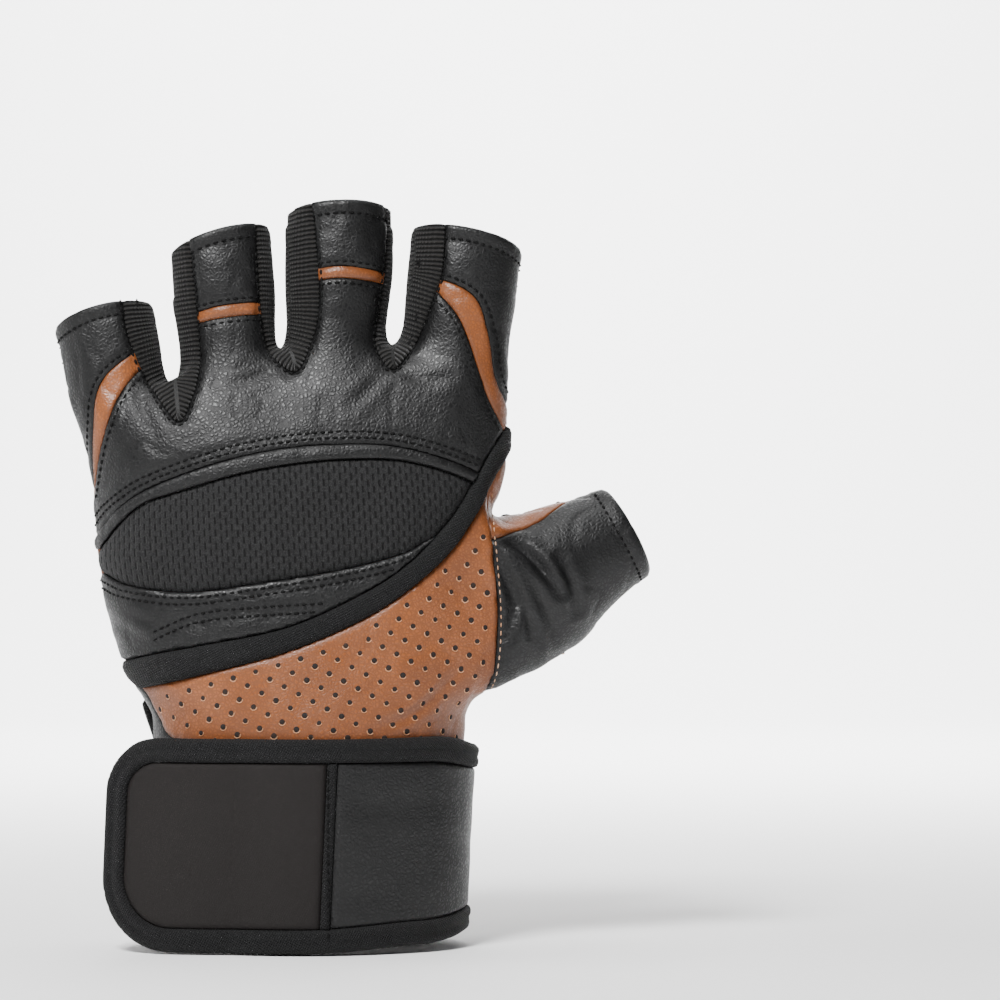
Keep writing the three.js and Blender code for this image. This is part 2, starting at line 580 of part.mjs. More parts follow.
// A smooth pad between two edges, laid on the palm.
function palmPad(smooth, { upper, lower }) {
  const [top, low] = [upper, lower].map((rows) =>
    new THREE.SplineCurve(rows.map(([x, z]) => new THREE.Vector2(x * HAND_WIDTH, z * HAND_HEIGHT))),
  );
  const steps = Math.ceil(top.getLength() / PAD_STEP);
  const rows = [];
  for (let i = 0; i <= steps; i++) {
    const [a, b] = [top.getPoint(i / steps), low.getPoint(i / steps)];
    rows.push(PAD_SHARES.map((s) => onPalmAt(smooth, a.x + s * (b.x - a.x), a.y + s * (b.y - a.y))));
  }
  return gridNet(rows);
}

// An oval pad laid on the palm side of a finger: rings of points round its middle.
function ovalPad(smooth, oval) {
  const middle = [oval.x * HAND_WIDTH, oval.z * HAND_HEIGHT];
  const at = (ring, k) => {
    const turn = (2 * Math.PI * k) / OVAL_SIDES;
    const a = ring * oval.long * FINGER_WIDTH * Math.cos(turn);
    const b = ring * oval.short * FINGER_WIDTH * Math.sin(turn);
    const x = middle[0] + a * Math.cos(oval.tilt) - b * Math.sin(oval.tilt);
    return onPalmAt(smooth, x, middle[1] + a * Math.sin(oval.tilt) + b * Math.cos(oval.tilt));
  };
  const points = [at(0, 0)];
  const triangles = [];
  OVAL_RINGS.forEach((ring, n) => {
    const first = points.length;
    for (let k = 0; k < OVAL_SIDES; k++) points.push(at(ring, k));
    for (let k = 0; k < OVAL_SIDES; k++) {
      const m = (k + 1) % OVAL_SIDES;
      if (n === 0) triangles.push([0, first + m, first + k]);
      else {
        const under = first - OVAL_SIDES;
        triangles.push([under + k, under + m, first + m], [under + k, first + m, first + k]);
      }
    }
  });
  return faceOut({ points, triangles });
}

// The cuff's outline at a height, by the angle from +X towards the back of the hand.
function cuffAt(turn, z) {
  const share = z / HAND_HEIGHT;
  let n = RINGS.findIndex((r) => r.height > share) - 1;
  n = Math.min(Math.max(n, 0), RINGS.length - 2);
  const [a, b] = [RINGS[n], RINGS[n + 1]];
  const t = (share - a.height) / (b.height - a.height);
  const mix = (key) => a[key] + t * (b[key] - a[key]);
  const deep = Math.sin(turn) > 0 ? mix("back") * BACK_DEPTH : mix("palm") * PALM_DEPTH;
  const wide = ((mix("right") - mix("left")) * HAND_WIDTH) / 2;
  const middle = ((mix("right") + mix("left")) * HAND_WIDTH) / 2;
  const grown = STRAP_EASE + STRAP_THICKNESS;
  return [middle + (wide + grown) * Math.cos(turn), -(deep + grown) * Math.sin(turn)];
}

// The wrap's outer face as a net that also carries how far along and up the wrap a point lies.
function strapNet() {
  const turns = [];
  for (let k = 0; k <= STRAP_STEPS; k++)
    turns.push(STRAP_START + ((STRAP_LEAVE - STRAP_START) * k) / STRAP_STEPS);
  const height = STRAP_MIDDLE * HAND_HEIGHT;
  const edge = (turn, key) => {
    const n = Math.max(1, STRAP_STATIONS.findIndex((s) => s.turn >= turn - 1e-9));
    const [a, b] = [STRAP_STATIONS[n - 1], STRAP_STATIONS[n]];
    const t = (turn - a.turn) / (b.turn - a.turn);
    return (a[key] + (3 - 2 * t) * t * t * (b[key] - a[key])) * STRAP_HEIGHT;
  };
  const columns = turns.map((turn) => ({ turn, out: 0 }));
  const leave = cuffAt(STRAP_LEAVE, height);
  const flat = leave[0] + STRAP_TAB_REACH;
  for (let k = 1; k <= TAB_STEPS; k++) columns.push({ turn: STRAP_LEAVE, out: (flat * k) / TAB_STEPS });
  const rows = columns.map(({ turn, out }) =>
    STRAP_ROWS.map((v) => {
      const low = height + edge(turn, "low") - STRAP_HEIGHT / 2;
      const up = height + edge(turn, "up") + STRAP_HEIGHT / 2;
      const z = low + v * (up - low);
      const [x, y] = cuffAt(turn, Math.max(z, 0));
      return [x - out, y + TAB_BEND * out * (out / flat), z, v];
    }),
  );
  const along = [0];
  for (let i = 1; i < rows.length; i++) {
    const [a, b] = [rows[i - 1], rows[i]].map((r) => r[STRAP_ROWS.length >> 1]);
    along.push(along[i - 1] + Math.hypot(b[0] - a[0], b[1] - a[1]));
  }
  const at = (i, j) => new THREE.Vector3(...rows[i][j].slice(0, 3));
  const clamp = (n, top) => Math.min(Math.max(n, 0), top);
  const full = rows.map((row, i) =>
    row.map((p, j) => {
      const run = at(clamp(i + 1, rows.length - 1), j).sub(at(clamp(i - 1, rows.length - 1), j));
      const rise = at(i, clamp(j + 1, row.length - 1)).sub(at(i, clamp(j - 1, row.length - 1)));
      return [p[0], p[1], p[2], 0, ...rise.cross(run).normalize().toArray(), along[i], p[2]];
    }),
  );
  const length = along[along.length - 1];
  const edges = rows.map((row) => [row[0][2], row[row.length - 1][2]]);
  return { net: gridNet(full), length, edges, along };
}

// How far a point of the wrap lies inside the wrap's outline, below zero inside.
function strapOutline({ length, edges, along }) {
  return (p) => {
    const s = p[7];
    let n = along.findIndex((a) => a > s + 1e-9) - 1;
    if (n < 0) n = along.length - 2;
    const t = (s - along[n]) / (along[n + 1] - along[n]);
    const [low, up] = [0, 1].map((k) => edges[n][k] + t * (edges[n + 1][k] - edges[n][k]));
    const middle = (low + up) / 2;
    const radius = p[8] > middle ? TAB_ROUND_UP : TAB_ROUND_LOW;
    const over = Math.abs(p[8] - middle) - (up - low) / 2;
    const q = [s - length + radius, over + radius];
    const corner = Math.hypot(Math.max(q[0], 0), Math.max(q[1], 0)) + Math.min(Math.max(...q), 0) - radius;
    return Math.max(corner, -s);
  };
}

const { net: hand, smooth } = handNet();
const back = Object.fromEntries(Object.entries(BACK_SEAMS).map(([k, rows]) => [k, distanceTo(rows)]));
const palm = Object.fromEntries(Object.entries(PALM_SEAMS).map(([k, rows]) => [k, distanceTo(rows)]));

// Tests for trim: each is below zero on the side that is kept.
const onBack = (p) => p[3] * SIDE_SPAN - SIDE_WRAP;
const onPalm = (p) => SIDE_WRAP - p[3] * SIDE_SPAN;
const leftOf = (seam) => (p) => -seam(p[0], p[2]);
const rightOf = (seam) => (p) => seam(p[0], p[2]);
const either = (backTest, palmTest) => (p) => {
  const t = Math.min(Math.max(0.5 + SIDE_BLEND * p[3], 0), 1);
  return (1 - t) * backTest(p) + t * palmTest(p);
};
const cut = (net, ...tests) => tests.reduce((n, test) => trim(n, test), net);
const fingerOf = (p) => WEBS.filter((w) => p[0] > w.x * HAND_WIDTH).length;
const onFinger = (n) => (p) =>
  Math.max(
    n > 0 ? WEBS[n - 1].x * HAND_WIDTH - p[0] : -HAND_WIDTH,
    n < 3 ? p[0] - WEBS[n].x * HAND_WIDTH : -HAND_WIDTH,
  );

const gaps = ["gap1", "gap2", "gap3"].map((name) => ({
  inside: either(leftOf(back[name]), leftOf(palm[name])),
  outside: either(rightOf(back[name]), rightOf(palm[name])),
}));
const offKnit = gaps.map((g) => g.outside);
const aboveCuff = cut(hand, either(leftOf(back.cuffTop), leftOf(palm.cuffTop)));

const glove = new THREE.Group();
const piece = (name, net, look, thickness, raise = 0) =>
  glove.add(wall(name, net, look, -thickness, raise));

// Knitted gussets between the fingers
["little_ring", "ring_middle", "middle_index"].forEach((name, n) =>
  piece(`knit_gusset_${name}`, cut(hand, gaps[n].inside), KNITTED, KNIT),
);

// Fingers' backs with their tan inlays, and the leather below them
const wholeBack = cut(aboveCuff, onBack, ...offKnit, leftOf(back.rollTop), rightOf(back.bindingTop));
const INLAYS = [
  { name: "little_finger", top: "littleInlayTop", low: "littleInlayLow", above: rightOf, below: leftOf },
  { name: "ring_finger", top: "ringInlayTop", low: "ringInlayLow", above: leftOf, below: rightOf },
  { name: "middle_finger", top: "middleInlayTop", low: "middleInlayLow", above: leftOf, below: rightOf },
  { name: "index_finger", top: "indexInlayTop", low: "indexInlayLow", above: leftOf, below: rightOf },
];
INLAYS.forEach(({ name, top, low, above, below }, n) => {
  const finger = cut(wholeBack, onFinger(n));
  piece(`${name}_back`, cut(finger, above(back[top])), BLACK, LEATHER);
  piece(`${name}_inlay`, cut(finger, below(back[top]), above(back[low])), TAN, LEATHER);
});
const underInlays = (p) => {
  const { low, below } = INLAYS[fingerOf(p)];
  return below(back[low])(p);
};
piece("back_panel", cut(wholeBack, underInlays), BLACK, LEATHER);

// Back of the hand below the knuckles
const lowerBack = cut(aboveCuff, onBack, rightOf(back.rollTop), rightOf(back.bindingTop));
piece("knuckle_roll", cut(lowerBack, leftOf(back.meshTop)), BLACK, LEATHER, RIM_RAISE);
piece("knuckle_mesh", cut(lowerBack, rightOf(back.meshTop), leftOf(back.meshLow)), NETTED, MESH_CLOTH);
piece("lower_back_band", cut(lowerBack, rightOf(back.meshTop), rightOf(back.meshLow)), BLACK, LEATHER);
const tape = cut(aboveCuff, onBack, leftOf(back.bindingTop), rightOf(back.bindingLow));
piece("back_binding", tape, TAPE, LEATHER, RIM_RAISE);
const belowTape = cut(aboveCuff, onBack, leftOf(back.bindingLow));
piece("wrist_back_panel", cut(belowTape, rightOf(back.thumbSeam)), TAN, TAN_LEATHER);
const thumbBack = cut(belowTape, leftOf(back.thumbSeam));
piece("thumb_stall", cut(thumbBack, rightOf(back.gusset)), BLACK, LEATHER);
piece("thumb_gusset", cut(thumbBack, leftOf(back.gusset)), TAN, TAN_LEATHER);

// Palm side
const wholePalm = cut(aboveCuff, onPalm, ...offKnit);
piece("finger_front_panel", cut(wholePalm, rightOf(palm.wave)), BLACK, LEATHER);
const tanPalm = cut(wholePalm, leftOf(palm.wave));
const beside = (test, shift) => (p) => test(p) + shift;
const halfPipe = PIPING_WIDTH / 2;
piece("palm_panel", cut(tanPalm, beside(rightOf(palm.thenar), halfPipe)), TAN, TAN_LEATHER);
piece("thumb_base_panel", cut(tanPalm, beside(leftOf(palm.thenar), halfPipe)), TAN, TAN_LEATHER);
const pipe = [rightOf(palm.thenar), leftOf(palm.thenar)].map((test) => beside(test, -halfPipe));
const aboveWrap = beside(leftOf(palm.cuffTop), PIPING_CLEAR);
piece("thumb_seam_piping", cut(tanPalm, ...pipe, aboveWrap), TAPE, LEATHER, RIM_RAISE);
const seatOf = (net, name) => glove.add(wall(name, net, RUBBER, PAD_SEAT, PAD_SEAT + PAD_THICKNESS));
for (const [name, edges] of Object.entries(PALM_PADS)) seatOf(palmPad(hand, edges), name);
for (const oval of OVALS) seatOf(ovalPad(smooth, oval), oval.name);

// Cuff and wrap
piece("wrist_cuff", cut(hand, either(rightOf(back.cuffTop), rightOf(palm.cuffTop))), BLACK, CUFF_WALL);
const strap = strapNet();
const outline = strapOutline(strap);
const inward = (width) => (p) => outline(p) + width;
const from = (s) => (p) => s - p[7];
const upTo = (s) => (p) => p[7] - s;
const patchEnd = strap.length - BINDING_WIDTH - PATCH_LENGTH;
const stripEnd = patchEnd - SEAM_STRIP_WIDTH;
const field = cut(strap.net, inward(BINDING_WIDTH));
const folded = cut(strap.net, outline, (p) => -outline(p) - BINDING_WIDTH);
piece("strap_binding", folded, TAPE, STRAP_THICKNESS, RIM_RAISE);
piece("wrist_strap", cut(field, upTo(stripEnd)), BLACK, STRAP_THICKNESS);
piece("strap_seam_strip", cut(field, from(stripEnd), upTo(patchEnd)), TAPE, STRAP_THICKNESS, RIM_RAISE / 2);
piece("strap_patch", cut(field, from(patchEnd)), BARE_PATCH, STRAP_THICKNESS);
const hooks = cut(strap.net, inward(BINDING_WIDTH), from(strap.length - HOOK_LENGTH));
const hookFace = -STRAP_THICKNESS - SEAT_GAP;
glove.add(wall("hook_tape", hooks, TAPE, hookFace - HOOK_THICKNESS, hookFace));

export default glove;
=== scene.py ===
"""A half-finger weightlifting glove with a wrist wrap, for the left hand, filled out as if worn.

Lengths are in millimetres until a mesh is made. +Z runs up to the fingers, -Y is the back of the
hand and +X is the thumb's side. The origin is the middle of the wrist opening.
"""

import logging
import math
from dataclasses import dataclass, field
from enum import Enum
from functools import cached_property
from typing import Any, Callable, Iterable, Sequence

import bpy
import numpy as np
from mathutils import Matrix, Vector
from mathutils.bvhtree import BVHTree

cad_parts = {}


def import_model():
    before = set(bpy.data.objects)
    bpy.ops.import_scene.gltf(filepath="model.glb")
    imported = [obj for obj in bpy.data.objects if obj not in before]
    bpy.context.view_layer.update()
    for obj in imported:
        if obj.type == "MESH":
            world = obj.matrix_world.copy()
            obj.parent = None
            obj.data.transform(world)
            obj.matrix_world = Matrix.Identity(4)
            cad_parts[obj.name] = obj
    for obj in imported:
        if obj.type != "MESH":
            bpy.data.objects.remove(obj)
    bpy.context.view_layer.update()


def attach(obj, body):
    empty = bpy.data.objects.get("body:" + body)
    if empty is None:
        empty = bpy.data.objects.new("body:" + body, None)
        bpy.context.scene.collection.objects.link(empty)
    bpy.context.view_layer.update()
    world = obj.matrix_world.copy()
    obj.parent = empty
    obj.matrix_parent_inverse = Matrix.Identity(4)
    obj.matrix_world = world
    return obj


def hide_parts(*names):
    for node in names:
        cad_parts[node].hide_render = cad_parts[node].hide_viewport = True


log = logging.getLogger("glove")

MM = 0.001
HAND_WIDTH = 104.0
HAND_HEIGHT = 181.0
BACK_DEPTH = 22.0
PALM_DEPTH = 22.0
FINGER_WIDTH = 27.0
FINGER_DEPTH = 25.0
THUMB_LENGTH = 38.5
THUMB_WIDTH = 24.0
STRAP_HEIGHT = 52.0
STRAP_TAB_REACH = 48.0
STRAP_GROWN = 2.8  # how far the wrap's outer face stands off the cuff
TAB_ROUND_UP = 14.0
TAB_ROUND_LOW = 19.0
BINDING_WIDTH = 5.8
PATCH_LENGTH = 50.5
SEAM_STRIP_WIDTH = 2.4
STITCHED_X = 7.2  # where the row on that strip is seen
HOOK_LENGTH = 25.0
PIPING_WIDTH = 2.4
SIDE_SPAN = 12.0
SIDE_BLEND = 1.2
SIDE_WRAP = 2.2  # how far the back reaches round the side towards the palm
HEM_RISE = 0.9
HEM_DIP = 1.7
LEVELS = 4
CAGE_PASSES = 5
FAR = 99.0
NEAR_HEM = 20.0
# A point belongs to a hem within this many half widths of it, and this far below it.
HEM_ASIDE = 1.6
HEM_BELOW = 24.0

# How much more a cut takes off, so that two neighbours don't touch, and how near to the cut a
# point is moved onto it.
CUT_GAP = 0.04
CUT_SNAP = 0.06

# A stitch's length, width and height.
SHORT_STITCH = (1.4, 0.66, 0.6)
LONG_STITCH = (1.75, 0.56, 0.5)
FINE_STITCH = (1.3, 0.36, 0.36)

# How far stitch rows lie beside or below what they follow.
HEM_ROWS = (3.4,)
PALM_HEM_ROWS = (4.5, 8.5)
THUMB_HEM_ROW = 3.2
GAP_ROW = -0.9
GAP_ROW_TOP = 0.93  # a share of the height
ROLL_ROWS = (1.6, 3.1)
MESH_ROWS = (-1.3, -2.9)
BAND_ROWS = (0.0, -2.0)
OVAL_ROW = 1.4
PAD_ROW = 1.9
WAVE_ROW = 2.0
THENAR_ROWS = (-2.2, 2.2, 3.9)
THUMB_SEAM_ROW = 0.8

# Depths of the sewn grooves, their width, and heights of the lips.
BLACK_GROOVE = 0.38
CREAM_GROOVE = 0.42
GROOVE_WIDTH = 0.75
PAD_LIP = 0.55
OVAL_LIP = 0.75
HEM_LIP = 0.35

# A hole's radius, how far the palm's holes stay off the pads and the thumb's seam, how far the
# surface may turn away where holes are, and the lowest and highest x and z of the rows.
HOLE = 0.68
HOLE_TO_PAD = 3.6
HOLE_TO_SEAM = 5.4
HOLE_FLATNESS = 0.3
BACK_HOLES = (-46, 8, 52, 130)
PALM_HOLES = (-54, 8, 76, 134)
# How far round each hole its rim runs, on the lower side that is coloured as painted highlight.
RIM_SWEEP = math.radians(160)
LARGEST_STEP = 3.0  # in depth, within a stitch row

# How full a pad is.
PAD_FILL = 0.7
OVAL_FILL = 0.8

Rows = Sequence[tuple[float, float]]
Points = np.ndarray

# height, left, right, back, palm, round
RINGS = (
    (0.0, -0.365, 0.37, 1.21, 1.21, 2.0),
    (0.255, -0.35, 0.395, 1.18, 1.22, 2.0),
    (0.33, -0.395, 0.45, 1.14, 1.26, 2.1),
    (0.42, -0.457, 0.478, 1.08, 1.24, 2.2),
    (0.515, -0.49, 0.48, 1.03, 1.12, 2.3),
    (0.605, -0.502, 0.484, 1.0, 0.98, 2.4),
    (0.68, -0.522, 0.5, 0.9, 0.86, 2.5),
)
# root x, root z, tip x, tip z, width, depth, curl, slant
FINGERS = (
    (-0.432, 0.74, -0.476, 0.856, 0.93, 0.9, 0.1, 0.04),
    (-0.17, 0.785, -0.196, 0.96, 0.96, 0.97, 0.13, 0.2),
    (0.09, 0.8, 0.094, 1.0, 1.0, 1.0, 0.14, 0.05),
    (0.371, 0.79, 0.402, 0.962, 1.03, 1.0, 0.12, -0.1),
)
FINGER_NAMES = ("little", "ring", "middle", "index")
FINGER_STEPS = (0, 0.45, 1)
WEBS = ((-0.3, 0.752), (-0.046, 0.8), (0.219, 0.806))
COLUMNS = (0.063, 0.168, 0.299, 0.416, 0.545, 0.668, 0.8, 0.932)
THUMB_ROW = 2
THUMB_SIDES = 10
THUMB_RINGS = ((0.28, 1.62, 1.34), (0.62, 1.28, 1.14), (1.0, 1.0, 0.94))
THUMB_BASE = (0.47, 0.182, 0.449)
THUMB_LEAN = 0.5
THUMB_FORWARD = 0.1

BACK_SEAMS: dict[str, Rows] = {
    "gap1": ((-0.423, 0.9), (-0.414, 0.84), (-0.394, 0.801), (-0.356, 0.753), (-0.288, 0.699),
             (-0.257, 0.729), (-0.243, 0.767), (-0.25, 0.843), (-0.272, 0.99)),
    "gap2": ((-0.106, 1.01), (-0.096, 0.925), (-0.086, 0.843), (-0.066, 0.795), (-0.01, 0.769),
             (0.019, 0.798), (0.043, 0.849), (0.041, 0.919), (0.019, 1.03)),
    "gap3": ((0.212, 1.03), (0.209, 0.925), (0.196, 0.856), (0.186, 0.808), (0.221, 0.772),
             (0.269, 0.808), (0.315, 0.87), (0.337, 0.912), (0.344, 0.99)),
    "little_top": ((-0.3, 0.8), (-0.37, 0.799), (-0.413, 0.786), (-0.462, 0.762), (-0.486, 0.732),
                   (-0.493, 0.691), (-0.5, 0.6)),
    "little_low": ((-0.3, 0.772), (-0.351, 0.779), (-0.389, 0.765), (-0.428, 0.736),
                   (-0.457, 0.698), (-0.478, 0.66), (-0.5, 0.6)),
    "index_top": ((0.25, 0.897), (0.3, 0.898), (0.349, 0.892), (0.404, 0.877), (0.435, 0.855),
                  (0.459, 0.808), (0.471, 0.76), (0.51, 0.715), (0.56, 0.67)),
    "index_low": ((0.25, 0.88), (0.3, 0.886), (0.337, 0.87), (0.377, 0.843), (0.409, 0.804),
                  (0.436, 0.758), (0.462, 0.72), (0.5, 0.68), (0.54, 0.64)),
    "ring_top": ((-0.32, 0.841), (-0.248, 0.85), (-0.18, 0.859), (-0.036, 0.868)),
    "ring_low": ((-0.32, 0.826), (-0.24, 0.836), (-0.168, 0.843), (-0.036, 0.851)),
    "middle_top": ((-0.04, 0.904), (0.034, 0.909), (0.12, 0.912), (0.28, 0.899)),
    "middle_low": ((-0.04, 0.889), (0.034, 0.893), (0.12, 0.896), (0.28, 0.883)),
    "roll_top": ((-0.6, 0.46), (-0.488, 0.547), (-0.433, 0.58), (-0.337, 0.612), (-0.144, 0.649),
                 (0.048, 0.666), (0.24, 0.663), (0.425, 0.629), (0.55, 0.58)),
    "mesh_top": ((-0.6, 0.44), (-0.483, 0.53), (-0.385, 0.582), (-0.288, 0.603), (-0.096, 0.633),
                 (0.096, 0.647), (0.264, 0.644), (0.428, 0.612), (0.55, 0.56)),
    "mesh_low": ((-0.6, 0.515), (-0.483, 0.492), (-0.409, 0.475), (-0.264, 0.467), (-0.096, 0.479),
                 (0.096, 0.497), (0.24, 0.518), (0.312, 0.539), (0.45, 0.58)),
    "binding_top": ((0.58, 0.76), (0.481, 0.681), (0.433, 0.635), (0.361, 0.566), (0.24, 0.497),
                    (0.096, 0.449), (-0.048, 0.416), (-0.24, 0.394), (-0.385, 0.377), (-0.6, 0.345)),
    "binding_low": ((0.58, 0.735), (0.474, 0.632), (0.42, 0.572), (0.337, 0.509), (0.192, 0.444),
                    (0.0, 0.393), (-0.192, 0.361), (-0.365, 0.336), (-0.6, 0.305)),
    "thumb_seam": ((0.45, 0.7), (0.454, 0.566), (0.462, 0.511), (0.471, 0.428), (0.462, 0.359),
                   (0.428, 0.297), (0.4, 0.2)),
    "gusset": ((0.35, 0.537), (0.457, 0.54), (0.553, 0.559), (0.62, 0.584), (0.673, 0.61),
               (0.74, 0.68)),
    "cuff_top": ((-0.6, 0.36), (-0.46, 0.35), (-0.38, 0.333), (-0.345, 0.3), (-0.3, 0.268),
                 (-0.144, 0.256), (0.24, 0.256), (0.6, 0.25)),
}
PALM_SEAMS: dict[str, Rows] = {
    "gap1": ((-0.385, 0.9), (-0.372, 0.82), (-0.345, 0.766), (-0.302, 0.722), (-0.268, 0.76),
             (-0.262, 0.82), (-0.28, 0.99)),
    "gap2": ((-0.11, 1.01), (-0.1, 0.9), (-0.085, 0.82), (-0.048, 0.778), (-0.01, 0.82),
             (0.0, 0.9), (-0.01, 1.03)),
    "gap3": ((0.2, 1.03), (0.192, 0.9), (0.188, 0.83), (0.221, 0.786), (0.266, 0.83),
             (0.275, 0.9), (0.29, 0.99)),
    "wave": ((0.66, 0.71), (0.47, 0.717), (0.376, 0.722), (0.281, 0.704), (0.217, 0.726),
             (0.126, 0.757), (0.036, 0.732), (-0.028, 0.725), (-0.131, 0.75), (-0.17, 0.748),
             (-0.222, 0.725), (-0.294, 0.7), (-0.363, 0.719), (-0.441, 0.713), (-0.5, 0.672),
             (-0.64, 0.62)),
    "thenar": ((0.62, 0.68), (0.51, 0.58), (0.44, 0.533), (0.345, 0.505), (0.229, 0.458),
               (0.157, 0.378), (0.131, 0.297), (0.15, 0.2)),
    "cuff_top": ((-0.6, 0.36), (-0.46, 0.352), (-0.36, 0.335), (-0.209, 0.296), (-0.054, 0.276),
                 (0.049, 0.262), (0.178, 0.248), (0.358, 0.246), (0.6, 0.25)),
}
# The smooth pads by their upper and lower edges.
PALM_PADS: dict[str, tuple[Rows, Rows]] = {
    "palm_pad_upper": (
        ((0.385, 0.653), (0.255, 0.675), (0.108, 0.702), (-0.003, 0.682), (-0.106, 0.701),
         (-0.247, 0.673), (-0.332, 0.68), (-0.4, 0.655)),
        ((0.383, 0.646), (0.229, 0.646), (0.075, 0.646), (-0.054, 0.64), (-0.157, 0.634),
         (-0.26, 0.622), (-0.338, 0.612), (-0.4, 0.635)),
    ),
    "palm_pad_middle": (
        ((0.387, 0.613), (0.204, 0.616), (0.049, 0.616), (-0.131, 0.605), (-0.273, 0.572),
         (-0.35, 0.52), (-0.375, 0.462), (-0.345, 0.429)),
        ((0.387, 0.595), (0.204, 0.591), (0.101, 0.583), (-0.028, 0.553), (-0.118, 0.521),
         (-0.196, 0.483), (-0.26, 0.444), (-0.315, 0.424)),
    ),
    "palm_pad_lower": (
        ((0.389, 0.566), (0.204, 0.565), (0.023, 0.54), (-0.131, 0.473), (-0.26, 0.407),
         (-0.34, 0.36)),
        ((0.389, 0.545), (0.178, 0.529), (0.023, 0.485), (-0.067, 0.426), (-0.144, 0.366),
         (-0.23, 0.33)),
    ),
    "palm_pad_heel": (
        ((0.068, 0.457), (-0.015, 0.411), (-0.068, 0.36), (-0.075, 0.315)),
        ((0.09, 0.45), (0.072, 0.4), (0.036, 0.356), (-0.01, 0.308)),
    ),
    "thumb_pad_base": (
        ((0.475, 0.49), (0.478, 0.44), (0.46, 0.39), (0.425, 0.345)),
        ((0.42, 0.49), (0.412, 0.44), (0.395, 0.395), (0.37, 0.35)),
    ),
    "thumb_pad_tip": (
        ((0.64, 0.565), (0.7, 0.545), (0.725, 0.51)),
        ((0.61, 0.54), (0.63, 0.5), (0.665, 0.47)),
    ),
}
# Middle x and z, half axes in shares of a finger's width, tilt.
OVALS = {
    "oval_pad_index_upper": (0.394, 0.82, 0.27, 0.15, 0.15),
    "oval_pad_index_lower": (0.384, 0.75, 0.26, 0.14, 0.08),
    "oval_pad_middle_upper": (0.085, 0.881, 0.23, 0.13, -0.08),
    "oval_pad_middle_lower": (0.09, 0.813, 0.25, 0.15, -0.15),
    "oval_pad_ring_upper": (-0.18, 0.848, 0.24, 0.14, 0.0),
    "oval_pad_ring_lower": (-0.17, 0.783, 0.24, 0.14, 0.0),
    "oval_pad_little": (-0.44, 0.758, 0.24, 0.14, -0.3),
}
# turn from +X towards the back, and the edges' rises as shares of the wrap's height
STRAP_STATIONS = (
    (-2.8, 0.16, 0.12),
    (-2.3, 0.12, 0.06),
    (-1.57, 0.02, 0.02),
    (-0.9, -0.04, 0.04),
    (0.0, -0.05, 0.07),
    (0.8, 0.0, 0.03),
    (1.57, 0.0, 0.0),
    (2.0, 0.0, 0.0),
)
STRAP_MIDDLE = 0.127
TAB_BEND = 0.3
# The stitched line under the mesh.
BAND_LINE = ((-0.34, 0.414), (-0.26, 0.434), (-0.18, 0.443), (-0.06, 0.448), (0.05, 0.452))


def unit(rows: Points) -> Points:
    """The rows, each scaled to a length of one."""
    return rows / np.maximum(np.linalg.norm(rows, axis=1), 1e-9)[:, None]


def bell(far: Points, width: float) -> Points:
    """Falls from 1 on a line to near 0 at twice the width from it."""
    return np.exp(-((far / width) ** 2))


def leans(points: Points, faces: Points) -> Points:
    """Each face's normal by its first three corners, not scaled."""
    a, b, c = (points[faces[:, k]] for k in range(3))
    return np.cross(b - a, c - a)


def smoothed(rows: Points, passes: int, closed: bool = False) -> Points:
    """Evens out rows of numbers along a line."""
    for _ in range(passes):
        if closed:
            rows = (np.roll(rows, 1, axis=0) + 2 * rows + np.roll(rows, -1, axis=0)) / 4
        else:
            rows = rows.copy()
            rows[1:-1] = (rows[:-2] + 2 * rows[1:-1] + rows[2:]) / 4
    return rows


def shell(outer: Points, inner: Points, tri: Points, rim: Points) -> tuple[Points, Points]:
    """Joins an outer and an inner face by a wall along their rim.

    Args:
        outer: the outer points.
        inner: the inner points, in the same order.
        tri: the outer face's triangles.
        rim: its open edges.

    Returns:
        All points and all triangles.
    """
    under = len(outer)
    a, b = rim.T
    walls = [np.stack([b, a, under + a], axis=1), np.stack([b, under + a, under + b], axis=1)]
    return np.concatenate([outer, inner]), np.concatenate([tri, tri[:, ::-1] + under, *walls])


def smooth_path(rows: Rows, step: float = 0.8) -> Points:
    """Runs a smooth curve through rows of shares.

    Args:
        rows: x as a share of the hand's width and z of its height.
        step: the spacing of the curve's points.

    Returns:
        The curve's points as x and z.
    """
    corners = np.array(rows, float) * (HAND_WIDTH, HAND_HEIGHT)
    last = len(corners) - 1
    length = np.linalg.norm(np.diff(corners, axis=0), axis=1).sum()
    count = max(int(length / step), last * 4)
    t = np.linspace(0, last, count + 1)
    i = np.minimum(t.astype(int), last - 1)
    w = (t - i)[:, None]
    p0, p1, p2, p3 = (corners[np.clip(i + k, 0, last)] for k in (-1, 0, 1, 2))
    v0, v1 = (p2 - p0) / 2, (p3 - p1) / 2
    return (2 * p1 - 2 * p2 + v0 + v1) * w**3 + (3 * p2 - 3 * p1 - 2 * v0 - v1) * w**2 + v0 * w + p1


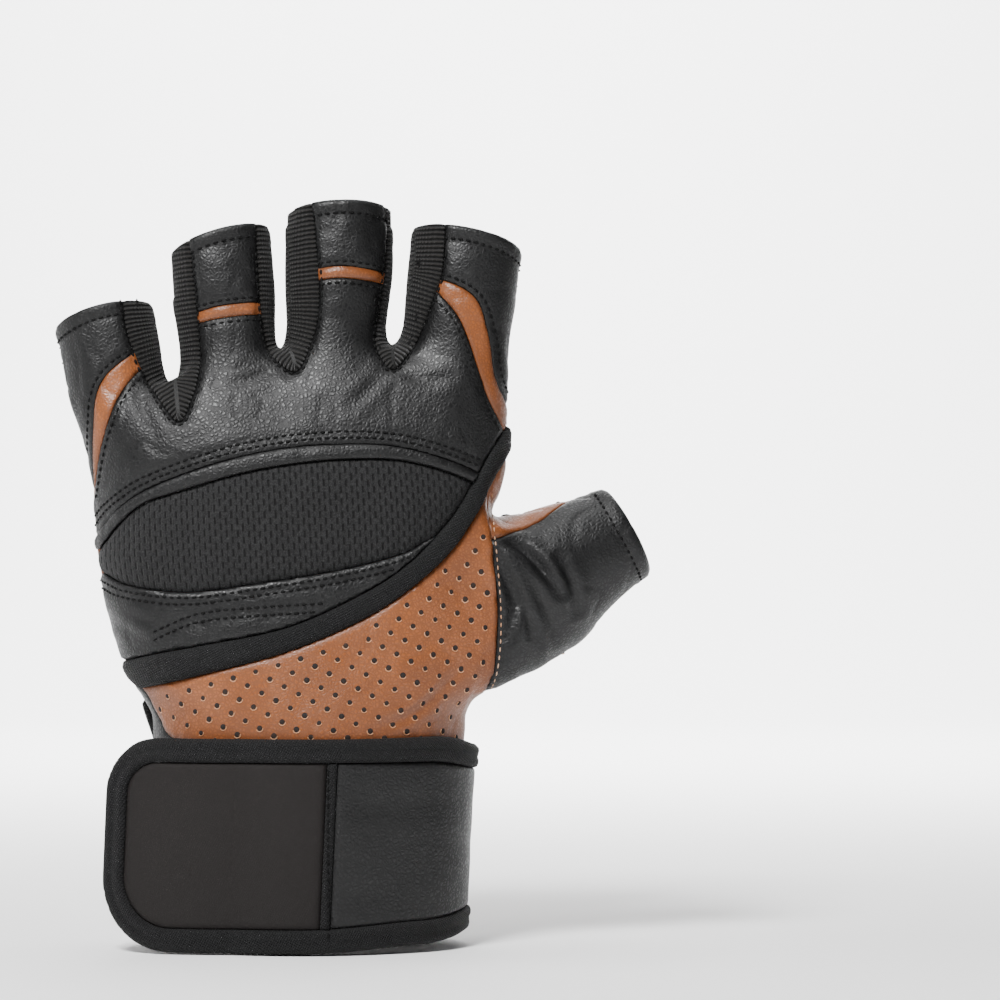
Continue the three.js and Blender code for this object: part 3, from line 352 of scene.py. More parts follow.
@dataclass(frozen=True)
class Seam:
    """A smooth line over the glove, as seen from the back of the hand."""

    rows: Rows

    @cached_property
    def path(self) -> Points:
        """The line's points."""
        return smooth_path(self.rows)

    def measure(self, x: Points, z: Points) -> tuple[Points, Points]:
        """Measures places against the line.

        Args:
            x: places across the hand.
            z: places up the hand.

        Returns:
            The distance, above zero on the line's left, and how far along the line that lies.
        """
        a, d = self.path[:-1], np.diff(self.path, axis=0)
        size = np.hypot(*d.T)
        start = np.concatenate([[0], np.cumsum(size)[:-1]])
        best = np.full(len(x), np.inf)
        signed, run = np.zeros(len(x)), np.zeros(len(x))
        for i in range(len(a)):
            px, pz = x - a[i, 0], z - a[i, 1]
            t = (px * d[i, 0] + pz * d[i, 1]) / size[i] ** 2
            if i > 0:
                t = np.maximum(t, 0)
            if i < len(a) - 1:
                t = np.minimum(t, 1)
            gap = np.hypot(px - t * d[i, 0], pz - t * d[i, 1])
            near = gap < best - 1e-9
            best = np.where(near, gap, best)
            side = np.sign(d[i, 0] * pz - d[i, 1] * px)
            signed = np.where(near, side * gap, signed)
            run = np.where(near, start[i] + t * size[i], run)
        return signed, run

    def shifted(self, shift: float) -> Points:
        """The line moved to its left by shift."""
        run = unit(np.gradient(self.path, axis=0))
        return self.path + shift * np.stack([-run[:, 1], run[:, 0]], axis=1)


BACK = {name: Seam(rows) for name, rows in BACK_SEAMS.items()}
PALM = {name: Seam(rows) for name, rows in PALM_SEAMS.items()}
CARRIED = ("side", "nx", "ny", "nz", "edge", "run", "rise", "hem", "rib", "relief")
NAMES = (
    "x", "y", "z", *CARRIED, *(f"back_{n}" for n in BACK), *(f"palm_{n}" for n in PALM)
)
COLUMN = {name: i for i, name in enumerate(NAMES)}


@dataclass
class Net:
    """Triangles whose points carry more than their place, by the names in COLUMN."""

    points: Points
    triangles: Points

    def __getitem__(self, name: str) -> Points:
        """One carried value at every point."""
        return self.points[:, COLUMN[name]]

    @property
    def places(self) -> Points:
        """The points' places."""
        return self.points[:, :3]

    def facing(self) -> Points:
        """The unit normals that the points carry."""
        return unit(self.points[:, COLUMN["nx"] : COLUMN["nz"] + 1])

    def trim(self, value: Callable[["Net"], Points]) -> "Net":
        """Keeps the part where value is below zero.

        Args:
            value: gives a signed distance at every point.

        Returns:
            The part, cut cleanly along the line.
        """
        worth = value(self) + CUT_GAP
        worth[np.abs(worth) < CUT_SNAP] = 0
        points = self.points.copy()
        edge = COLUMN["edge"]
        points[:, edge] = np.minimum(points[:, edge], -worth)
        tri = self.triangles[(worth[self.triangles] < 0).any(axis=1)]
        inside = worth[tri] <= 0
        count = inside.sum(axis=1)
        whole = tri[count == 3]
        two = self._turned(tri[count == 2], ~inside[count == 2], 2)
        one = self._turned(tri[count == 1], inside[count == 1], 0)
        pairs = np.concatenate([two[:, [1, 2]], two[:, [0, 2]], one[:, [0, 1]], one[:, [0, 2]]])
        made, at = self._crossings(points, worth, pairs)
        x, y, p, q = np.split(at, np.cumsum([len(two), len(two), len(one)]))
        cut = [
            whole,
            np.stack([two[:, 0], two[:, 1], x], axis=1),
            np.stack([two[:, 0], x, y], axis=1),
            np.stack([one[:, 0], p, q], axis=1),
        ]
        triangles = np.concatenate(cut)
        a, b, c = triangles.T
        return Net(np.concatenate([points, made]), triangles[(a != b) & (b != c) & (c != a)])

    @staticmethod
    def _turned(tri: Points, marked: Points, place: int) -> Points:
        """Turns each triangle so that its one marked corner comes at place."""
        shift = np.argmax(marked, axis=1) - place
        return np.take_along_axis(tri, (np.arange(3) + shift[:, None]) % 3, axis=1)

    @staticmethod
    def _crossings(points: Points, worth: Points, pairs: Points) -> tuple[Points, Points]:
        """New points where the pairs of an inner and an outer point cross zero.

        Args:
            points: all points so far.
            worth: their signed distances.
            pairs: inner and outer point of each crossed edge.

        Returns:
            The new points, and for each pair the index of its point.
        """
        if not len(pairs):
            return np.zeros((0, points.shape[1])), np.zeros(0, int)
        unique, back = np.unique(pairs, axis=0, return_inverse=True)
        inner, outer = unique.T
        t = (worth[inner] / (worth[inner] - worth[outer]))[:, None]
        made = points[inner] + t * (points[outer] - points[inner])
        at = np.where(worth[inner] == 0, inner, len(points) + np.arange(len(unique)))
        return made, at[back.reshape(-1)]

    def largest(self) -> "Net":
        """The largest connected stretch, with only the points that it uses."""
        tri = self.triangles
        label = np.arange(len(self.points))
        while True:
            low = label[tri].min(axis=1)
            new = label.copy()
            np.minimum.at(new, tri.ravel(), np.repeat(low, 3))
            new = new[new]
            if (new == label).all():
                break
            label = new
        owner = label[tri[:, 0]]
        values, counts = np.unique(owner, return_counts=True)
        kept = tri[owner == values[np.argmax(counts)]]
        used, index = np.unique(kept, return_inverse=True)
        return Net(self.points[used], index.reshape(-1, 3))

    def rim(self) -> Points:
        """The directed edges that only one triangle has."""
        t = self.triangles
        edges = np.concatenate([t[:, [0, 1]], t[:, [1, 2]], t[:, [2, 0]]])
        size = len(self.points)
        key = edges[:, 0] * size + edges[:, 1]
        return edges[~np.isin(key, edges[:, 1] * size + edges[:, 0])]


def subdivide(points: Points, loops: Points, sizes: Points) -> tuple[Points, Points, Points]:
    """One step of Catmull-Clark subdivision.

    Args:
        points: rows of numbers, all of which are smoothed.
        loops: the faces' corners, face after face.
        sizes: the corners in each face.

    Returns:
        The finer net in the same form.
    """
    count, total = len(points), len(loops)
    face = np.repeat(np.arange(len(sizes)), sizes)
    first = np.concatenate([[0], np.cumsum(sizes)[:-1]])
    place = np.arange(total) - first[face]
    after = first[face] + (place + 1) % sizes[face]
    before = first[face] + (place - 1) % sizes[face]
    nxt = loops[after]
    width = points.shape[1]

    def gathered(index: Points, rows: Points, size: int) -> Points:
        out = np.zeros((size, width))
        for k in range(width):
            out[:, k] = np.bincount(index, weights=rows[:, k], minlength=size)
        return out

    middle = gathered(face, points[loops], len(sizes)) / sizes[:, None]
    key = np.minimum(loops, nxt) * count + np.maximum(loops, nxt)
    unique, edge = np.unique(key, return_inverse=True)
    edge = edge.reshape(-1)
    ends = np.stack([unique // count, unique % count], axis=1)
    sides = np.bincount(edge, minlength=len(unique))
    both = sides > 1
    halfway = (points[ends[:, 0]] + points[ends[:, 1]]) / 2
    sums = gathered(edge, middle[face], len(unique))
    cut = np.where(both[:, None], (2 * halfway + sums) / 4, halfway)
    valence = np.bincount(loops, minlength=count)
    n = np.maximum(valence, 1)[:, None]
    faces_mean = gathered(loops, middle[face], count) / n
    flat = ends.ravel()
    touching = np.maximum(np.bincount(flat, minlength=count), 1)[:, None]
    edges_mean = gathered(flat, np.repeat(halfway, 2, axis=0), count) / touching
    moved = (faces_mean + 2 * edges_mean + (n - 3) * points) / n
    rim = ends[~both]
    rim_sum = gathered(rim.ravel(), points[rim[:, ::-1]].reshape(-1, width), count)
    rim_count = np.bincount(rim.ravel(), minlength=count)[:, None]
    on_rim = 0.75 * points + 0.25 * rim_sum / np.maximum(rim_count, 1)
    moved = np.where(rim_count > 0, on_rim, moved)
    moved = np.where(valence[:, None] > 0, moved, points)
    quads = np.stack(
        [loops, count + edge, count + len(unique) + face, (count + edge)[before]], axis=1
    )
    return np.concatenate([moved, cut, middle]), quads.ravel(), np.full(total, 4)


@dataclass(frozen=True)
class Hem:
    """The open end of a finger's stall or of the thumb's."""

    tip: Points
    axis: Points
    across: Points
    wide: float
    deep: float
    length: float = 0.0
    slant: float = 0.0
    rise: float = 0.0
    dip: float = 0.0

    @classmethod
    def of_finger(cls, n: int) -> "Hem":
        """The hem of one finger, counted from the little one."""
        root_x, root_z, tip_x, tip_z, width, depth, curl, slant = FINGERS[n]
        root = np.array([root_x * HAND_WIDTH, 0, root_z * HAND_HEIGHT])
        tip = np.array([tip_x * HAND_WIDTH, curl * FINGER_DEPTH, tip_z * HAND_HEIGHT])
        length = float(np.linalg.norm(tip - root))
        axis = (tip - root) / length
        across = np.array([axis[2], 0, -axis[0]])
        across /= np.linalg.norm(across)
        wide, deep = width * FINGER_WIDTH / 2, depth * FINGER_DEPTH / 2
        return cls(tip, axis, across, wide, deep, length, slant, HEM_RISE, HEM_DIP)

    def lift(self, turn: Points) -> Points:
        """How far the hem stands above its middle, by the angle from across to the back."""
        aside = np.cos(turn)
        return self.slant * self.wide * aside + self.rise * np.sin(turn) - self.dip * aside**2

    def at(self, turn: Points, lift: Points) -> Points:
        """A place round the stall, lift above the hem's middle."""
        place = self.tip + np.multiply.outer(np.cos(turn) * self.wide, self.across)
        place = place + np.multiply.outer(lift, self.axis)
        return place - np.multiply.outer(np.sin(turn) * self.deep, np.array([0, 1, 0]))

    def below(self, places: Points) -> tuple[Points, Points]:
        """How far places lie below the hem, and away from the stall's middle line."""
        offset = places - self.tip
        along = offset @ self.axis
        aside = offset - np.outer(along, self.axis)
        turn = np.arctan2(-aside[:, 1] / self.deep, aside @ self.across / self.wide)
        return self.lift(turn) - along, np.linalg.norm(aside, axis=1)


@dataclass
class HandForm:
    """The glove's outer surface: a cage of real surface points made smooth."""

    points: list[list[float]] = field(default_factory=list)
    faces: list[list[int]] = field(default_factory=list)
    hems: list[Hem] = field(default_factory=list)

    def add(self, x: float, y: float, z: float, side: float) -> int:
        """Adds a cage point and gives its index."""
        self.points.append([x, y, z, side])
        return len(self.points) - 1

    def hand_ring(self, row: tuple[float, ...]) -> dict[str, Any]:
        """Adds the points of one ring round the hand."""
        height, left_share, right_share, back, palm, power = row
        left, span = left_share * HAND_WIDTH, (right_share - left_share) * HAND_WIDTH
        z = height * HAND_HEIGHT
        swell = [(1 - abs(2 * s - 1) ** power) ** (1 / power) for s in COLUMNS]
        backs, palms = (
            [self.add(left + span * s, deep * b, z, side) for s, b in zip(COLUMNS, swell)]
            for side, deep in ((-1, -back * BACK_DEPTH), (1, palm * PALM_DEPTH))
        )
        ends = self.add(left, 0, z, 0), self.add(left + span, 0, z, 0)
        return {"left": ends[0], "right": ends[1], "back": backs, "palm": palms}

    def fingers(self, webs: list[int]) -> list[list[int]]:
        """Adds the four finger stalls and gives their root rings."""
        roots = []
        for n in range(len(FINGERS)):
            hem = Hem.of_finger(n)
            self.hems.append(hem)
            below: list[int] = []
            for step in FINGER_STEPS:

                def place(turn: float, side: float) -> int:
                    lift = hem.lift(np.array(turn)) * step - (1 - step) * hem.length
                    return self.add(*hem.at(np.array(turn), lift), side)

                third = math.pi / 3
                left = webs[n - 1] if step == 0 and n > 0 else place(math.pi, 0)
                right = webs[n] if step == 0 and n < len(webs) else place(0, 0)
                ring = [left, place(2 * third, -1), place(third, -1), right]
                ring += [place(-third, 1), place(-2 * third, 1)]
                for k in range(len(below)):
                    m = (k + 1) % len(below)
                    self.faces.append([below[k], below[m], ring[m], ring[k]])
                below = ring
                if step == 0:
                    roots.append(ring)
        return roots

    def thumb(self, rings: list[dict[str, Any]]) -> None:
        """Adds the thumb's stall, which grows out of a hole in the hand's side."""
        low, mid_low, mid_high, high = rings[THUMB_ROW : THUMB_ROW + 4]
        up_palm = [ring["palm"][-1] for ring in (high, mid_high, mid_low, low)]
        up_back = [ring["back"][-1] for ring in (low, mid_low, mid_high, high)]
        mouth = [high["right"], *up_palm, low["right"], *up_back]
        axis = np.array([math.cos(THUMB_LEAN), THUMB_FORWARD, math.sin(THUMB_LEAN)])
        axis /= np.linalg.norm(axis)
        up = np.array([-axis[2], 0, axis[0]])
        up /= np.linalg.norm(up)
        palmward = np.cross(up, axis)
        share_x, y, share_z = THUMB_BASE
        base = np.array([share_x * HAND_WIDTH, y * PALM_DEPTH, share_z * HAND_HEIGHT])
        self.hems.append(Hem(base + axis * THUMB_LENGTH, axis, up, THUMB_WIDTH / 1.6, THUMB_WIDTH))
        below = mouth
        for along, width, depth in THUMB_RINGS:
            middle = base + axis * along * THUMB_LENGTH
            ring = []
            for k in range(THUMB_SIDES):
                turn = 2 * math.pi * k / THUMB_SIDES
                p = middle + up * math.cos(turn) * width * THUMB_WIDTH / 2
                p = p + palmward * math.sin(turn) * depth * THUMB_WIDTH / 2
                ring.append(self.add(*p, float(np.sign(round(3 * math.sin(turn))))))
            for k in range(THUMB_SIDES):
                n = (k + 1) % THUMB_SIDES
                self.faces.append([below[k], ring[k], ring[n], below[n]])
            below = ring

    def cage(self) -> None:
        """Builds the cage of the hand, the fingers and the thumb."""
        rings = [self.hand_ring(row) for row in RINGS]
        loops = [[r["left"], *r["back"], r["right"], *r["palm"][::-1]] for r in rings]
        around, edge = len(loops[0]), len(COLUMNS)
        for row, (low, high) in enumerate(zip(loops[:-1], loops[1:])):
            for k in range(around):
                n = (k + 1) % around
                if not (THUMB_ROW <= row < THUMB_ROW + 3 and k in (edge, edge + 1)):
                    self.faces.append([low[k], low[n], high[n], high[k]])
        webs = [self.add(x * HAND_WIDTH, 0, z * HAND_HEIGHT, 0) for x, z in WEBS]
        roots = self.fingers(webs)
        top = rings[-1]
        back, palm, left, right = top["back"], top["palm"], top["left"], top["right"]
        self.faces += [
            [left, back[0], roots[0][1], roots[0][0]],
            [palm[0], left, roots[0][0], roots[0][5]],
            [back[-1], right, roots[-1][3], roots[-1][2]],
            [right, palm[-1], roots[-1][4], roots[-1][3]],
        ]
        for n, root in enumerate(roots):
            self.faces.append([back[2 * n], back[2 * n + 1], root[2], root[1]])
            self.faces.append([palm[2 * n + 1], palm[2 * n], root[5], root[4]])
            if n < len(webs):
                far = roots[n + 1]
                self.faces.append([back[2 * n + 1], back[2 * n + 2], far[1], root[2]])
                self.faces.append([root[2], far[1], webs[n]])
                self.faces.append([palm[2 * n + 2], palm[2 * n + 1], root[4], far[5]])
                self.faces.append([far[5], root[4], webs[n]])
        self.thumb(rings)

    def net(self) -> Net:
        """The smooth surface with every seam's distance at every point.

        Returns:
            The net, from which all panels are cut.
        """
        self.cage()
        target = np.array(self.points)
        loops = np.concatenate([np.array(f) for f in self.faces])
        sizes = np.array([len(f) for f in self.faces])
        cage = target.copy()
        for _ in range(CAGE_PASSES):
            smooth = subdivide(*subdivide(cage, loops, sizes))[0][: len(cage)]
            cage[:, :3] += target[:, :3] - smooth[:, :3]
        state = (cage, loops, sizes)
        for _ in range(LEVELS):
            state = subdivide(*state)
        found, corners, _ = state
        quads = corners.reshape(-1, 4)
        a, b, c, d = (found[quads[:, k], :3] for k in range(4))
        lean = np.cross(c - a, d - b)
        normal = np.zeros((len(found), 3))
        for k in range(4):
            for m in range(3):
                normal[:, m] += np.bincount(quads[:, k], lean[:, m], len(found))
        rows = np.zeros((len(found), len(NAMES)))
        rows[:, :4] = found
        rows[:, COLUMN["nx"] : COLUMN["nz"] + 1] = unit(normal)
        rows[:, COLUMN["edge"]] = FAR
        rows[:, COLUMN["run"]] = found[:, 0]
        rows[:, COLUMN["rise"]] = found[:, 2]
        rows[:, COLUMN["hem"]] = self.hem(found)
        x, z = found[:, 0], found[:, 2]
        nearest, rib = np.full(len(found), np.inf), np.zeros(len(found))
        for group, seams in (("back", BACK), ("palm", PALM)):
            for name, seam in seams.items():
                gap, run = seam.measure(x, z)
                rows[:, COLUMN[f"{group}_{name}"]] = gap
                if group == "back" and name.startswith("gap"):
                    near = np.abs(gap) < nearest
                    nearest = np.where(near, np.abs(gap), nearest)
                    rib = np.where(near, run, rib)
        rows[:, COLUMN["rib"]] = rib
        triangles = np.concatenate([quads[:, [0, 1, 2]], quads[:, [0, 2, 3]]])
        return Net(rows, triangles)

    def hem(self, found: Points) -> Points:
        """How far each point lies below its finger's or the thumb's hem."""
        best = np.full(len(found), FAR)
        for hem in self.hems:
            below, aside = hem.below(found[:, :3])
            near = (aside < hem.wide * HEM_ASIDE) & (below < HEM_BELOW)
            best = np.where(near, np.minimum(best, below), best)
        return best


class Side(Enum):
    """Which side of the hand a line or a piece lies on."""

    BACK = -1
    PALM = 1

    def weight(self, net: Net) -> Points:
        """How much each point belongs to this side, from 0 to 1."""
        palm = np.clip(0.5 + 1.6 * net["side"], 0, 1)
        return palm if self is Side.PALM else 1 - palm


def lattice_noise(places: Points, size: float, seed: int) -> Points:
    """Smooth noise in space, the same on every run.

    Args:
        places: points in millimetres.
        size: the size of its swells.
        seed: picks one pattern.

    Returns:
        A value for each point, about -1 to 1.
    """
    q = places / size + seed * 17.31
    low = np.floor(q).astype(np.int64)
    t = q - low
    t = t * t * (3 - 2 * t)
    out = np.zeros(len(places))
    for corner in np.ndindex(2, 2, 2):
        c = low + np.array(corner)
        h = (c[:, 0] * 73856093) ^ (c[:, 1] * 19349663) ^ (c[:, 2] * 83492791) ^ (seed * 2654435761)
        h = (h ^ (h >> 13)) * 1274126177 & 0x7FFFFFFF
        h = (h ^ (h >> 16)) & 0xFFFF
        share = np.prod(np.where(np.array(corner) == 1, t, 1 - t), axis=1)
        out += share * (h / 32767.5 - 1)
    return out


@dataclass(frozen=True)
class Trail:
    """A drawn line on one side of the glove, in millimetres across and up."""

    line: Points
    side: Side

    @classmethod
    def beside(cls, seam: Seam, side: Side, shift: float) -> "Trail":
        """A line beside a seam, shift to its left."""
        return cls(seam.shifted(shift), side)

    def distance(self, net: Net, reach: float) -> Points:
        """How far the net's points lie from the line, FAR where that is beyond reach."""
        x, z = net["x"], net["z"]
        low, high = self.line.min(axis=0) - reach, self.line.max(axis=0) + reach
        near = (x > low[0]) & (x < high[0]) & (z > low[1]) & (z < high[1])
        near &= self.side.weight(net) > 0
        out = np.full(len(x), FAR)
        px, pz = x[near], z[near]
        best = np.full(len(px), FAR)
        for (ax, az), (bx, bz) in zip(self.line[:-1:2], self.line[2::2]):
            dx, dz = bx - ax, bz - az
            t = np.clip(((px - ax) * dx + (pz - az) * dz) / max(dx * dx + dz * dz, 1e-9), 0, 1)
            best = np.minimum(best, np.hypot(px - ax - t * dx, pz - az - t * dz))
        out[near] = best
        return out

    def where(self, *tests: Callable[[Points, Points], Points]) -> list["Trail"]:
        """The stretches of the line where every test is below zero."""
        x, z = self.line.T
        kept = np.all([test(x, z) < 0 for test in tests], axis=0)
        parts, start = [], None
        for i, inside in enumerate([*kept, False]):
            if inside and start is None:
                start = i
            if not inside and start is not None:
                if i - start > 3:
                    parts.append(Trail(self.line[start:i], self.side))
                start = None
        return parts


def left(seam: Seam, margin: float = 0.0) -> Callable[[Points, Points], Points]:
    """A test that is below zero on the seam's left, margin away from it."""
    return lambda x, z: margin - seam.measure(x, z)[0]


def right(seam: Seam, margin: float = 0.0) -> Callable[[Points, Points], Points]:
    """A test that is below zero on the seam's right, margin away from it."""
    return lambda x, z: margin + seam.measure(x, z)[0]


@dataclass(frozen=True)
class Fold:
    """A crease or a ridge in the leather along a line."""

    rows: Rows
    depth: float
    width: float
    side: Side = Side.BACK

    def relief(self, net: Net) -> Points:
        """How far the fold moves each point outwards."""
        trail = Trail(smooth_path(self.rows), self.side)
        far = trail.distance(net, self.width * 4)
        ends = np.array([self.rows[0], self.rows[-1]]) * (HAND_WIDTH, HAND_HEIGHT)
        length = np.linalg.norm(np.diff(trail.line, axis=0), axis=1).sum()
        to_end = np.minimum(*(np.hypot(net["x"] - e[0], net["z"] - e[1]) for e in ends))
        fade = np.clip(0.25 + 2.2 * to_end / length, 0, 1)
        wave = bell(far, self.width) - 0.45 * bell(far - 1.7 * self.width, self.width)
        return -self.depth * wave * fade * self.side.weight(net)


# Creases of the leather, as shares across and up.
FOLDS = (
    Fold(((0.469, 0.538), (0.535, 0.523), (0.592, 0.488), (0.618, 0.465)), 1.5, 1.4),
    Fold(((0.469, 0.517), (0.497, 0.476), (0.51, 0.447), (0.49, 0.403)), 1.8, 1.5),
    Fold(((0.516, 0.483), (0.535, 0.447), (0.557, 0.403), (0.56, 0.374)), 1.2, 1.3),
    Fold(((0.624, 0.512), (0.649, 0.476), (0.662, 0.443)), 1.0, 1.5),
    Fold(((0.475, 0.43), (0.48, 0.39), (0.485, 0.35)), 0.7, 1.3),
    Fold(((0.56, 0.47), (0.59, 0.44), (0.61, 0.4)), 0.6, 1.4),
    Fold(((-0.4, 0.78), (-0.37, 0.72), (-0.33, 0.66)), 0.35, 1.6),
    Fold(((-0.2, 0.75), (-0.13, 0.755), (-0.06, 0.77), (-0.02, 0.765)), 0.6, 1.4),
    Fold(((-0.19, 0.765), (-0.12, 0.775), (-0.06, 0.785)), 0.35, 1.1),
    Fold(((0.2, 0.765), (0.16, 0.74), (0.12, 0.72)), 0.4, 1.5),
    Fold(((0.24, 0.77), (0.3, 0.755), (0.36, 0.76)), 0.35, 1.4),
    Fold(((0.44, 0.74), (0.45, 0.69), (0.43, 0.65)), 0.4, 1.4),
    Fold(((-0.46, 0.43), (-0.36, 0.4), (-0.26, 0.395)), 0.45, 1.5),
    Fold(((-0.44, 0.4), (-0.3, 0.385), (-0.1, 0.4)), 0.4, 1.3),
    Fold(((-0.45, 0.36), (-0.38, 0.31), (-0.33, 0.27)), 0.5, 1.6),
    Fold(((0.46, 0.476), (0.448, 0.373), (0.4, 0.29)), 0.6, 1.3),
    Fold(((0.18, 0.283), (0.288, 0.31), (0.385, 0.366)), 0.45, 1.3),
    Fold(((0.28, 0.775), (0.38, 0.785), (0.47, 0.775)), 0.5, 1.4, Side.PALM),
    Fold(((0.28, 0.79), (0.38, 0.8), (0.48, 0.785)), 0.3, 1.1, Side.PALM),
    Fold(((0.0, 0.845), (0.09, 0.85), (0.18, 0.845)), 0.4, 1.3, Side.PALM),
    Fold(((-0.04, 0.775), (0.08, 0.77), (0.2, 0.78)), 0.45, 1.4, Side.PALM),
    Fold(((-0.26, 0.815), (-0.17, 0.818), (-0.08, 0.815)), 0.4, 1.3, Side.PALM),
    Fold(((-0.27, 0.75), (-0.17, 0.755), (-0.06, 0.765)), 0.4, 1.3, Side.PALM),
    Fold(((-0.36, 0.74), (-0.43, 0.725), (-0.5, 0.735)), 0.5, 1.4, Side.PALM),
    Fold(((-0.36, 0.785), (-0.44, 0.79), (-0.51, 0.8)), 0.4, 1.2, Side.PALM),
    Fold(((-0.37, 0.81), (-0.45, 0.815), (-0.52, 0.82)), 0.3, 1.1, Side.PALM),
    Fold(((0.4, 0.6), (0.3, 0.56), (0.2, 0.5), (0.12, 0.4)), 0.5, 2.6, Side.PALM),
    Fold(((0.47, 0.62), (0.42, 0.56), (0.3, 0.53)), 0.4, 2.0, Side.PALM),
    Fold(((-0.49, 0.56), (-0.42, 0.52), (-0.4, 0.45)), 0.5, 2.2, Side.PALM),
    Fold(((-0.5, 0.62), (-0.44, 0.6), (-0.42, 0.56)), 0.4, 2.0, Side.PALM),
    Fold(((0.5, 0.55), (0.58, 0.52), (0.64, 0.5)), 0.6, 2.0, Side.PALM),
)


def inlay_rows() -> list[Trail]:
    """The black stitch rows beside the fingers' tan inlays."""
    rows: list[Trail] = []
    for number, (finger, shift) in enumerate(zip(FINGER_NAMES, (-1.4, 1.2, 1.2, 1.4))):
        tests = [right(BACK["binding_top"], 1.5), left(BACK["roll_top"], 4.0)]
        tests += [right(BACK[f"gap{n}"], 0.6) for n in (number, number + 1) if 1 <= n <= 3]
        if number > 0:
            edge = WEBS[number - 1][0] * HAND_WIDTH
            tests.append(lambda x, z, edge=edge: edge - x)
        if number < len(WEBS):
            brim = WEBS[number][0] * HAND_WIDTH
            tests.append(lambda x, z, brim=brim: x - brim)
        for name, way in (("top", 1), ("low", -1)):
            rows += Trail.beside(BACK[f"{finger}_{name}"], Side.BACK, way * shift).where(*tests)
    return rows


def gap_rows(side: Side) -> list[Trail]:
    """The stitch rows beside the knit between the fingers."""
    seams = BACK if side is Side.BACK else PALM
    below_hems = lambda x, z: z - GAP_ROW_TOP * HAND_HEIGHT
    rows: list[Trail] = []
    for name in ("gap1", "gap2", "gap3"):
        rows += Trail.beside(seams[name], side, GAP_ROW).where(below_hems)
    return rows


def hem_rows(side: Side, drops: Sequence[float]) -> list[Trail]:
    """Stitch rows that follow the fingers' hems.

    Args:
        side: the side of the hand.
        drops: how far below the hem each row runs.

    Returns:
        The rows, finger by finger.
    """
    seams = BACK if side is Side.BACK else PALM
    rows: list[Trail] = []
    for n in range(len(FINGERS)):
        hem = Hem.of_finger(n)
        tests = [right(seams[f"gap{k}"], 0.3) for k in (n, n + 1) if 1 <= k <= 3]
        for drop in drops:
            turn = np.linspace(math.pi, 0, 70) * -side.value
            line = hem.at(turn, hem.lift(turn) - drop)[:, [0, 2]]
            rows += Trail(line, side).where(*tests)
    return rows


def back_rows() -> list[Trail]:
    """All the black stitch rows on the back of the hand."""
    short = [right(BACK["binding_top"], 1.2)]
    rows = hem_rows(Side.BACK, HEM_ROWS) + inlay_rows()
    for name, shifts in (("roll_top", ROLL_ROWS), ("mesh_low", MESH_ROWS)):
        for shift in shifts:
            rows += Trail.beside(BACK[name], Side.BACK, shift).where(*short)
    for lift in BAND_ROWS:
        rows += Trail(smooth_path(BAND_LINE) + (0, lift), Side.BACK).where(*short)
    return rows + gap_rows(Side.BACK)


def thumb_rows() -> list[Trail]:
    """The stitch row at the thumb's hem."""
    x, _, z = THUMB_BASE
    base = np.array([x * HAND_WIDTH, z * HAND_HEIGHT])
    axis = np.array([math.cos(THUMB_LEAN), math.sin(THUMB_LEAN)])
    up = np.array([-axis[1], axis[0]])
    u = np.linspace(-1, 1, 60)[:, None]
    middle = base + axis * (THUMB_LENGTH - THUMB_HEM_ROW)
    return [Trail(middle + up * u * THUMB_WIDTH / 2, Side.BACK)]


@dataclass(frozen=True)
class Window:
    """A smooth pad's opening in the palm, with rounded ends."""

    upper: Rows
    lower: Rows

    def at(self, u: Points, v: Points) -> Points:
        """Places in the window.

        Args:
            u: how far from end to end, 0 to 1.
            v: how far from the middle line to the edges, -1 to 1.

        Returns:
            x and z in millimetres.
        """
        top, low = smooth_path(self.upper, 0.5), smooth_path(self.lower, 0.5)

        def along(path: Points, share: Points) -> Points:
            step = np.concatenate([[0], np.cumsum(np.linalg.norm(np.diff(path, axis=0), axis=1))])
            share = share * step[-1]
            return np.stack([np.interp(share, step, path[:, k]) for k in (0, 1)], axis=1)

        a, b = along(top, u), along(low, u)
        middle, half = (a + b) / 2, (a - b) / 2
        length = np.linalg.norm(np.diff(top, axis=0), axis=1).sum()
        near_ends = np.array([0.04, 0.96])
        widths = np.linalg.norm(along(top, near_ends) - along(low, near_ends), axis=1) / 2
        first, last = np.clip(widths / length, 0.03, 0.5)
        ends = np.minimum(np.clip(u / first, 0, 1), np.clip((1 - u) / last, 0, 1))
        round_off = np.sqrt(np.clip(1 - (1 - ends) ** 2, 0, 1))
        return middle + half * (v * round_off)[:, None]

    def outline(self, grow: float) -> Points:
        """The window's closed edge, moved out by grow."""
        count = 220
        u = (1 - np.cos(np.linspace(0, math.pi, count // 2))) / 2
        top = self.at(u, np.ones(len(u)))
        low = self.at(u[::-1], -np.ones(len(u)))
        ring = np.concatenate([top, low[1:-1]])
        step = np.linalg.norm(np.diff(ring, axis=0, append=ring[:1]), axis=1)
        run = np.concatenate([[0], np.cumsum(step)])
        even = np.linspace(0, run[-1], count, endpoint=False)
        closed = np.concatenate([ring, ring[:1]])
        ring = np.stack([np.interp(even, run, closed[:, k]) for k in (0, 1)], axis=1)
        ring = smoothed(ring, 4, True)
        ahead = unit(np.roll(ring, -1, axis=0) - np.roll(ring, 1, axis=0))
        normal = np.stack([ahead[:, 1], -ahead[:, 0]], axis=1)
        if ((ring - ring.mean(axis=0)) * normal).sum() < 0:
            normal = -normal
        moved = ring + normal * grow
        return np.concatenate([moved, moved[:1]])


WINDOWS = {name: Window(*edges) for name, edges in PALM_PADS.items()}


